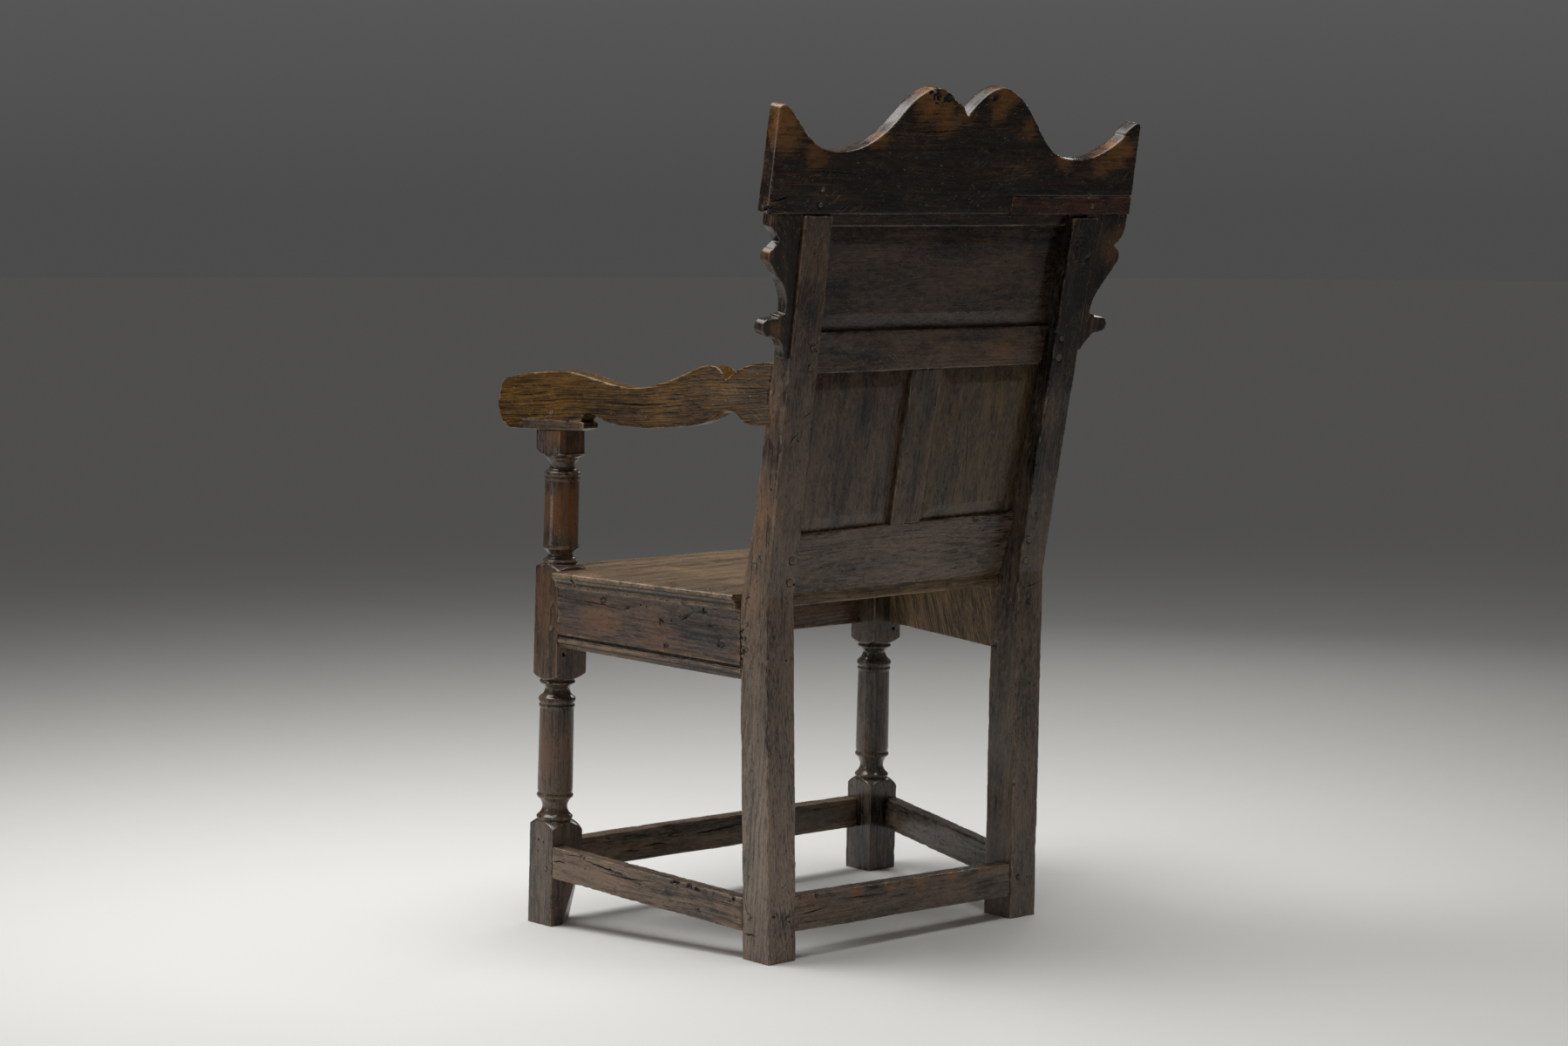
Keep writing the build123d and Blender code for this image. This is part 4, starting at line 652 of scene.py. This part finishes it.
def figure_group():
    """Oak's figure from a place in grain axes, in millimetres. It has the outputs named above."""
    group = bpy.data.node_groups.new("oak_figure", "ShaderNodeTree")
    face = group.interface
    face.new_socket("Grain", in_out="INPUT", socket_type="NodeSocketVector")
    for name in ("Heart across", "Heart deep", "Ring width"):
        face.new_socket(name, in_out="INPUT", socket_type="NodeSocketFloat")
    for name in FIGURE_OUTPUTS:
        face.new_socket(name, in_out="OUTPUT", socket_type="NodeSocketFloat")
    s = Shader(group)
    inlet = group.nodes.new("NodeGroupInput")
    grain, heart_across, heart_deep, ring_width = inlet.outputs[0:4]

    def sway(size, reach, detail):
        """A sideways shift of the grain, which is smooth over the size given."""
        shift = s.noise(s.sized(grain, size), detail=detail, colour=True)
        shift = s.add("VectorMath", {0: shift, 1: (0.5, 0.5, 0.5)}, operation="SUBTRACT")
        return s.scaled(shift, (0, reach, reach))

    bend, curl = sway(BEND_SIZE, BEND_REACH, 1.0), sway(CURL_SIZE, CURL_REACH, 2.0)
    bent = s.add("VectorMath", {0: grain, 1: bend}, operation="ADD")
    bent = s.add("VectorMath", {0: bent, 1: curl}, operation="ADD")
    apart = s.tree.nodes.new("ShaderNodeSeparateXYZ")
    s.tree.links.new(bent, apart.inputs[0])
    across = s.math("SUBTRACT", apart.outputs[1], heart_across)
    deep = s.math("SUBTRACT", apart.outputs[2], heart_deep)
    radius = s.math("SQRT", s.sum(s.times(across, across), s.times(deep, deep)))
    ring = s.math("DIVIDE", radius, ring_width)
    phase = s.math("FRACT", ring)
    early = s.times(s.ramp(phase, 0.0, 0.12), s.ramp(phase, 0.6, 0.2))
    year = s.noise(s.add("CombineXYZ", {0: s.times(ring, 0.45)}), detail=1.0)
    ring_tone = s.times(early, s.ramp(year, 0.3, 0.7, 0.2, 1.0))
    pore = s.ramp(s.noise(s.sized(bent, PORE_SIZE), detail=1.0), 0.56, 0.66)
    pore = s.times(pore, s.ramp(early, 0.0, 0.8, 0.25, 1.0))
    streak = s.noise(s.sized(bent, STREAK_SIZE), detail=4.0, roughness=0.65)
    stain = s.noise(s.sized(bent, STAIN_SIZE), detail=6.0, roughness=0.62)
    mottle = s.noise(s.sized(grain, MOTTLE_SIZE), detail=5.0, roughness=0.65, distortion=0.5)
    hair = s.noise(s.sized(bent, HAIR_SIZE), detail=2.0, roughness=0.6)
    speck = s.ramp(s.noise(s.sized(grain, SPECK_SIZE), detail=2.0), 0.68, 0.74)
    skewed = s.add("VectorRotate", {"Vector": grain, "Angle": SCRATCH_TURN}, rotation_type="Z_AXIS")
    scratch = s.ramp(s.noise(s.sized(skewed, SCRATCH_SIZE), detail=0.5), 0.66, 0.72)
    scuffed = s.ramp(s.noise(s.sized(grain, SCUFF_SIZE), detail=2.0), 0.52, 0.62)
    scratch = s.times(scratch, scuffed)
    dent = s.ramp(s.noise(s.sized(grain, DENT_SIZE), detail=2.0, distortion=0.6), 0.655, 0.7)
    outlet = group.nodes.new("NodeGroupOutput")
    for place, value in enumerate((ring_tone, pore, streak, stain, mottle, hair, speck, scratch, dent)):
        group.links.new(value, outlet.inputs[place])
    return group


def oak(name, middle, axes, finish, seed):
    """Old oak for one piece, with its grain along axes[0] and its heart where the finish says.

    It reads four attributes: 'rubbed' and 'hollow' from the piece's relief, 'end_grain', and 'tint', which
    is above 0 where the patina has worn to honey and below 0 where it is black; on the far stile that
    black is painted shade. It paints rubbed arrises pale, as wear and painted highlight, hollows dark, as
    grime and painted shade, and the wood paler towards the foot, as painted light from the floor.
    """
    material = bpy.data.materials.new(name)
    material.use_nodes = True
    material.node_tree.nodes.clear()
    s = Shader(material.node_tree)
    turn = Matrix(axes.tolist())
    start = -(turn @ Vector(middle)) / MM
    drift = Vector((137.0 * seed % 900, 61.0 * seed % 300, 89.0 * seed % 300))
    place = s.add("TexCoord", {}, out=3)
    grain = s.add("Mapping", {"Vector": place, "Location": start, "Rotation": turn.to_euler(),
                              "Scale": (1 / MM, 1 / MM, 1 / MM)})
    shifted = s.add("VectorMath", {0: grain, 1: drift}, operation="ADD")
    figure = s.tree.nodes.new("ShaderNodeGroup")
    figure.node_tree = FIGURE
    s.tree.links.new(shifted, figure.inputs[0])
    heart_across, heart_deep = finish["heart"]
    figure.inputs[1].default_value = drift.y + heart_across
    figure.inputs[2].default_value = drift.z + heart_deep
    figure.inputs[3].default_value = finish["ring"]
    ring, pore, streak, stain, mottle, hair, speck, scratch, dent = figure.outputs[0:len(FIGURE_OUTPUTS)]
    rubbed, hollow, tint = s.attribute("rubbed"), s.attribute("hollow"), s.attribute("tint")

    tone = s.sum(s.centred(stain, finish["stain_gain"]), s.centred(streak, finish["streak_gain"]),
                 s.centred(hair, finish["hair_gain"]), s.centred(mottle, finish["mottle_gain"]))
    tone = s.math("SUBTRACT", tone, s.times(ring, finish["ring_gain"]))
    level = s.sum(tone, 0.5, s.times(tint, 0.5))
    colour = s.mix(s.ramp(level, 0.0, 1.0), srgb(*finish["dark"]), srgb(*finish["warm"]))
    # The wood is painted paler towards the foot: painted light from the pale floor below.
    height = s.tree.nodes.new("ShaderNodeSeparateXYZ")
    s.tree.links.new(place, height.inputs[0])
    low = s.ramp(height.outputs[2], PAINTED_FLOOR_LIGHT_TOP, PAINTED_FLOOR_LIGHT_FOOT, 0.0, finish["painted_floor_light_share"])
    low = s.times(low, s.ramp(level, 0.0, 0.85))
    colour = s.mix(low, colour, srgb(*finish["painted_floor_light"]))
    plain = s.math("SUBTRACT", mottle, s.math("ABSOLUTE", s.times(tint, 0.3)))
    colour = s.mix(s.times(s.ramp(plain, 0.42, 0.62), finish["grey_share"]), colour, srgb(*finish["grey"]))
    honey = s.sum(s.times(tint, 1.2), s.times(tone, 0.7), finish["honey_spread"])
    honey = s.times(s.ramp(honey, 0.1, 1.2), finish["honey_share"])
    colour = s.mix(honey, colour, srgb(*finish["honey"]))
    # Proud arrises are painted pale: rubbed wear and painted highlight.
    pale_wear_and_highlight = s.times(s.ramp(rubbed, 0.25, 0.75), s.ramp(s.sum(mottle, tone), 0.3, 0.65))
    for share, part, paint in ((pale_wear_and_highlight, finish["edge_wear_and_highlight_share"], "pale_wear_and_highlight"), (pore, finish["pore_share"], "pore"),
                               (dent, DENT_SHARE, "pore"), (speck, finish["speck_share"], "pale_wear_and_highlight"),
                               (scratch, finish["scratch_share"], "pale_wear_and_highlight")):
        colour = s.mix(s.times(share, part), colour, srgb(*finish[paint]))
    # Hollows and corners are darkened: grime and painted shade.
    colour = s.mix(s.ramp(hollow, 0.1, 0.55, 0.0, 0.95), colour, srgb(*GRIME_AND_SHADE))

    rough = s.sum(s.ramp(mottle, 0.3, 0.7, finish["rough"] - 0.05, finish["rough"] + 0.1),
                  s.times(pore, 0.12))
    relief = s.sum(s.times(dent, -1.2), s.times(streak, 0.6), s.times(hair, 0.35),
                   s.times(pore, -0.4), s.times(ring, -0.3), s.times(mottle, 0.4))
    worn = s.math("MAXIMUM", s.ramp(rubbed, 0.2, 0.9), s.ramp(tint, 0.1, 0.9))
    strength = s.times(s.ramp(worn, 0.0, 1.0, 1.0, 0.3),
                       s.ramp(s.attribute("end_grain"), 0.1, 0.5, 1.0, 0.15))
    normal = s.add("Bump", {"Strength": strength, "Distance": finish["bump"] * MM, "Height": relief})
    out = material.node_tree.nodes.new("ShaderNodeOutputMaterial")
    surface = s.add("BsdfPrincipled", {"Base Color": colour, "Roughness": rough, "Normal": normal,
                                       "Specular IOR Level": finish["gloss"]})
    material.node_tree.links.new(surface, out.inputs[0])
    return material


# Colours are 0-255 values as a screen shows them. A share is how much of its colour is mixed in, a
# gain how strongly a feature swings the tone. In millimetres: heart, where the tree's heart lies
# across and through the piece, ring, the width of a year, and bump, the depth of the relief.
# In a finish, the pale colour of rubbed arrises, specks and scratches is wear, and on the arrises painted
# highlight too.
# In a finish, the paler colour mixed in towards the foot, and its share, are painted light from the floor.
PLAIN = dict(dark=(30, 21, 16), warm=(110, 84, 64), honey=(136, 96, 58), grey=(104, 95, 86),
             pore=(14, 9, 7), pale_wear_and_highlight=(160, 132, 100), painted_floor_light=(150, 128, 108), painted_floor_light_share=0.7,
             grey_share=0.35, honey_share=0.6, honey_spread=0.0, edge_wear_and_highlight_share=0.7, pore_share=0.75,
             speck_share=0.6, scratch_share=0.5, stain_gain=2.0, streak_gain=1.4, hair_gain=1.7,
             mottle_gain=0.8, ring_gain=0.25, heart=(18, -55), ring=3.4, rough=0.24, gloss=0.45, bump=0.25)
BLACK = dict(PLAIN, dark=(6, 4, 3), warm=(50, 32, 20), honey=(128, 86, 42), grey=(64, 56, 48),
             grey_share=0.1, painted_floor_light_share=0.0, honey_share=1.0, edge_wear_and_highlight_share=0.5, rough=0.22,
             streak_gain=2.2, hair_gain=1.6, bump=0.12)
BACK = dict(PLAIN, dark=(18, 12, 9), warm=(88, 65, 49), honey_share=0.5, grey_share=0.2, painted_floor_light_share=0.75)
FINISHES = {                           # by node, or else by kind, or else plain
    "crest": dict(BLACK, heart=(0, -70)),
    "patch": dict(BLACK, warm=(84, 44, 32), honey_share=0.4, heart=(0, -70)),
    "left_ear": dict(BLACK, warm=(50, 38, 29)),
    "right_ear": dict(BLACK, warm=(48, 35, 25), honey_share=0.5),
    "rail": dict(BACK, ring=2.8),
    "top_rail": dict(BLACK, ring=2.8),
    "bottom_rail": dict(BACK, warm=(108, 86, 70), grey_share=0.5, ring=2.8),
    "panel": dict(BACK, honey_share=0.3, pore_share=0.6, heart=(160, -30), ring=2.6),
    "lower_right_panel": dict(BACK, dark=(28, 21, 11), warm=(92, 74, 44), heart=(160, -30), ring=2.6),
    "arm": dict(PLAIN, dark=(24, 13, 3), warm=(108, 76, 28), honey=(142, 96, 40), honey_share=0.7,
                grey_share=0.0, honey_spread=0.05, pore_share=0.85, heart=(60, -25), ring=3.0,
                rough=0.2, streak_gain=2.2, stain_gain=1.2, hair_gain=2.0, painted_floor_light_share=0.0,
                pale_wear_and_highlight=(190, 160, 120), scratch_share=0.25, gloss=0.2),
    "pad": dict(PLAIN, dark=(26, 16, 8), warm=(88, 60, 32), honey_share=0.6, grey_share=0.1,
                painted_floor_light_share=0.0),
    "post": dict(PLAIN, dark=(22, 13, 8), warm=(78, 54, 38), honey=(112, 70, 36), honey_share=0.8,
                 heart=(2, 4), rough=0.18, grey_share=0.15, painted_floor_light_share=0.4, gloss=0.5),
    "seat": dict(PLAIN, dark=(50, 34, 22), warm=(142, 114, 82), honey=(164, 120, 72), honey_share=0.5,
                 grey_share=0.15, heart=(40, -90), ring=4.2, rough=0.28, painted_floor_light_share=0.0,
                 edge_wear_and_highlight_share=0.5),
    "apron": dict(PLAIN, dark=(20, 14, 10), warm=(86, 57, 38), honey=(124, 78, 46), edge_wear_and_highlight_share=0.6,
                  grey_share=0.1, painted_floor_light=(142, 114, 90), painted_floor_light_share=0.5),
    "right_seat_rail": dict(PLAIN, dark=(52, 40, 26), warm=(160, 132, 96), honey=(170, 136, 92),
                            grey_share=0.1, painted_floor_light_share=0.0, rough=0.6, stain_gain=1.6,
                            streak_gain=3.2),
    "right_front_post": dict(PLAIN, dark=(12, 10, 8), warm=(78, 68, 58), honey=(110, 84, 58),
                             heart=(2, 4), rough=0.18, grey=(84, 82, 78), painted_floor_light_share=0.35,
                             gloss=0.5),
    "right_stretcher": dict(PLAIN, dark=(16, 12, 10), warm=(84, 68, 56), painted_floor_light_share=0.4),
    "rear_stretcher": dict(PLAIN, dark=(20, 14, 10), warm=(92, 72, 54), honey=(150, 92, 44),
                           painted_floor_light_share=0.5),
    "left_rear_stile": dict(PLAIN, warm=(110, 87, 70), painted_floor_light=(160, 140, 123), painted_floor_light_share=0.8,
                            stain_gain=1.4, streak_gain=0.9, rough=0.2, gloss=0.5),
    "right_rear_stile": dict(PLAIN, dark=(14, 11, 9), warm=(92, 74, 60), painted_floor_light_share=0.45,
                             stain_gain=1.5, streak_gain=1.0, rough=0.2),
    "front_stretcher": dict(PLAIN, dark=(24, 19, 11), warm=(84, 68, 44), grey_share=0.1),
    "peg": dict(PLAIN, warm=(88, 66, 48), honey_share=0.5),
    "nail": dict(PLAIN, dark=(16, 15, 14), warm=(40, 36, 32), honey_share=0.2, rough=0.5,
                 painted_floor_light_share=0.0),
}


# ---------------------------------------------------------------- the studio
HORIZON_TONE, OVERHEAD_TONE = 0.071, 0.094       # of the backdrop, where 1 is white
HORIZON_RISE = 0.06                    # how high above the horizon the overhead tone begins
BACKDROP_TINT = (1.0, 1.0, 0.99, 1.0)
FLOOR_RADIUS, FLOOR_CORNERS = 40.0, 96
FLOOR_PAINT = (231, 230, 226)


def softbox(name, place, aim, size, power, spread=180):
    """A round softbox. Its grid keeps the light within spread degrees."""
    data = bpy.data.lights.new(name, "AREA")
    data.shape, data.size, data.energy, data.spread = "DISK", size, power, radians(spread)
    lamp = bpy.data.objects.new(name, data)
    lamp.location = place
    lamp.rotation_euler = (Vector(aim) - Vector(place)).to_track_quat("-Z", "Y").to_euler()
    bpy.context.collection.objects.link(lamp)


def make_world():
    """A grey room, lighter overhead than at the horizon, where it nearly meets the floor's tone."""
    world = bpy.data.worlds.new("studio")
    bpy.context.scene.world = world
    world.use_nodes = True
    backdrop = world.node_tree.nodes["Background"]
    s = Shader(world.node_tree)
    apart = world.node_tree.nodes.new("ShaderNodeSeparateXYZ")
    world.node_tree.links.new(s.add("TexCoord", {}, out=0), apart.inputs[0])
    tone = s.ramp(apart.outputs[2], 0.0, HORIZON_RISE, HORIZON_TONE, OVERHEAD_TONE)
    world.node_tree.links.new(tone, backdrop.inputs["Strength"])
    backdrop.inputs["Color"].default_value = BACKDROP_TINT


def make_floor():
    """A pale floor, lit by the lamps round the chair and falling off into the backdrop's tone."""
    floor_mesh = bpy.data.meshes.new("floor")
    form = bmesh.new()
    bmesh.ops.create_circle(form, cap_ends=True, segments=FLOOR_CORNERS, radius=FLOOR_RADIUS)
    form.to_mesh(floor_mesh)
    form.free()
    floor = bpy.data.objects.new("floor", floor_mesh)
    bpy.context.collection.objects.link(floor)
    paint = bpy.data.materials.new("floor_paint")
    paint.use_nodes = True
    surface = paint.node_tree.nodes["Principled BSDF"]
    surface.inputs["Base Color"].default_value = srgb(*FLOOR_PAINT)
    surface.inputs["Roughness"].default_value = 0.7
    surface.inputs["Specular IOR Level"].default_value = 0.1
    floor_mesh.materials.append(paint)


def make_studio():
    softbox("key_softbox", (1.0, -0.9, 2.5), (0.4, -0.3, 0), 1.5, 17, spread=125)
    softbox("top_softbox", (0.0, 0.15, 2.7), (0, 0.1, 0), 2.2, 25, spread=125)
    softbox("left_window", (2.7, -1.0, 0.7), (0, 0, 0.2), 0.9, 6.5)
    softbox("right_window", (-2.4, -1.4, 1.5), (-0.2, 0, 0.6), 0.6, 4)
    make_world()
    make_floor()


# ---------------------------------------------------------------- the chair
FIGURE = figure_group()


def dressed(node, kind_name, seed):
    """Redraws a node as old wood."""
    kind = KINDS[kind_name]
    tree = solid_tree(node)
    voxel = kind["voxel"] * 1
    piece = voxel_copy(node, voxel)
    middle, axes = wear_down(piece, kind, node, tree, voxel, seed)
    note_relief(piece, voxel, kind.get("reach", USUAL_REACH), kind.get("grime_and_shade", 1))
    thinned(piece, kind["keep"])
    holed(piece, node, tree, axes[0], kind["worm"], seed)
    piece.data.shade_smooth()
    piece.data.set_sharp_from_angle(angle=SHARP_ANGLE)
    finish = FINISHES.get(node) or FINISHES.get(kind_name, PLAIN)
    piece.data.materials.clear()
    piece.data.materials.append(oak(piece.name, middle, axes, finish, seed))
    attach(piece, "root")
    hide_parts(node)


make_camera()
make_studio()
seed = 3
for kind_name, kind in KINDS.items():
    for node in kind["nodes"]:
        seed += 7
        dressed(node, kind_name, seed)

bpy.context.scene.view_settings.view_transform = "Standard"
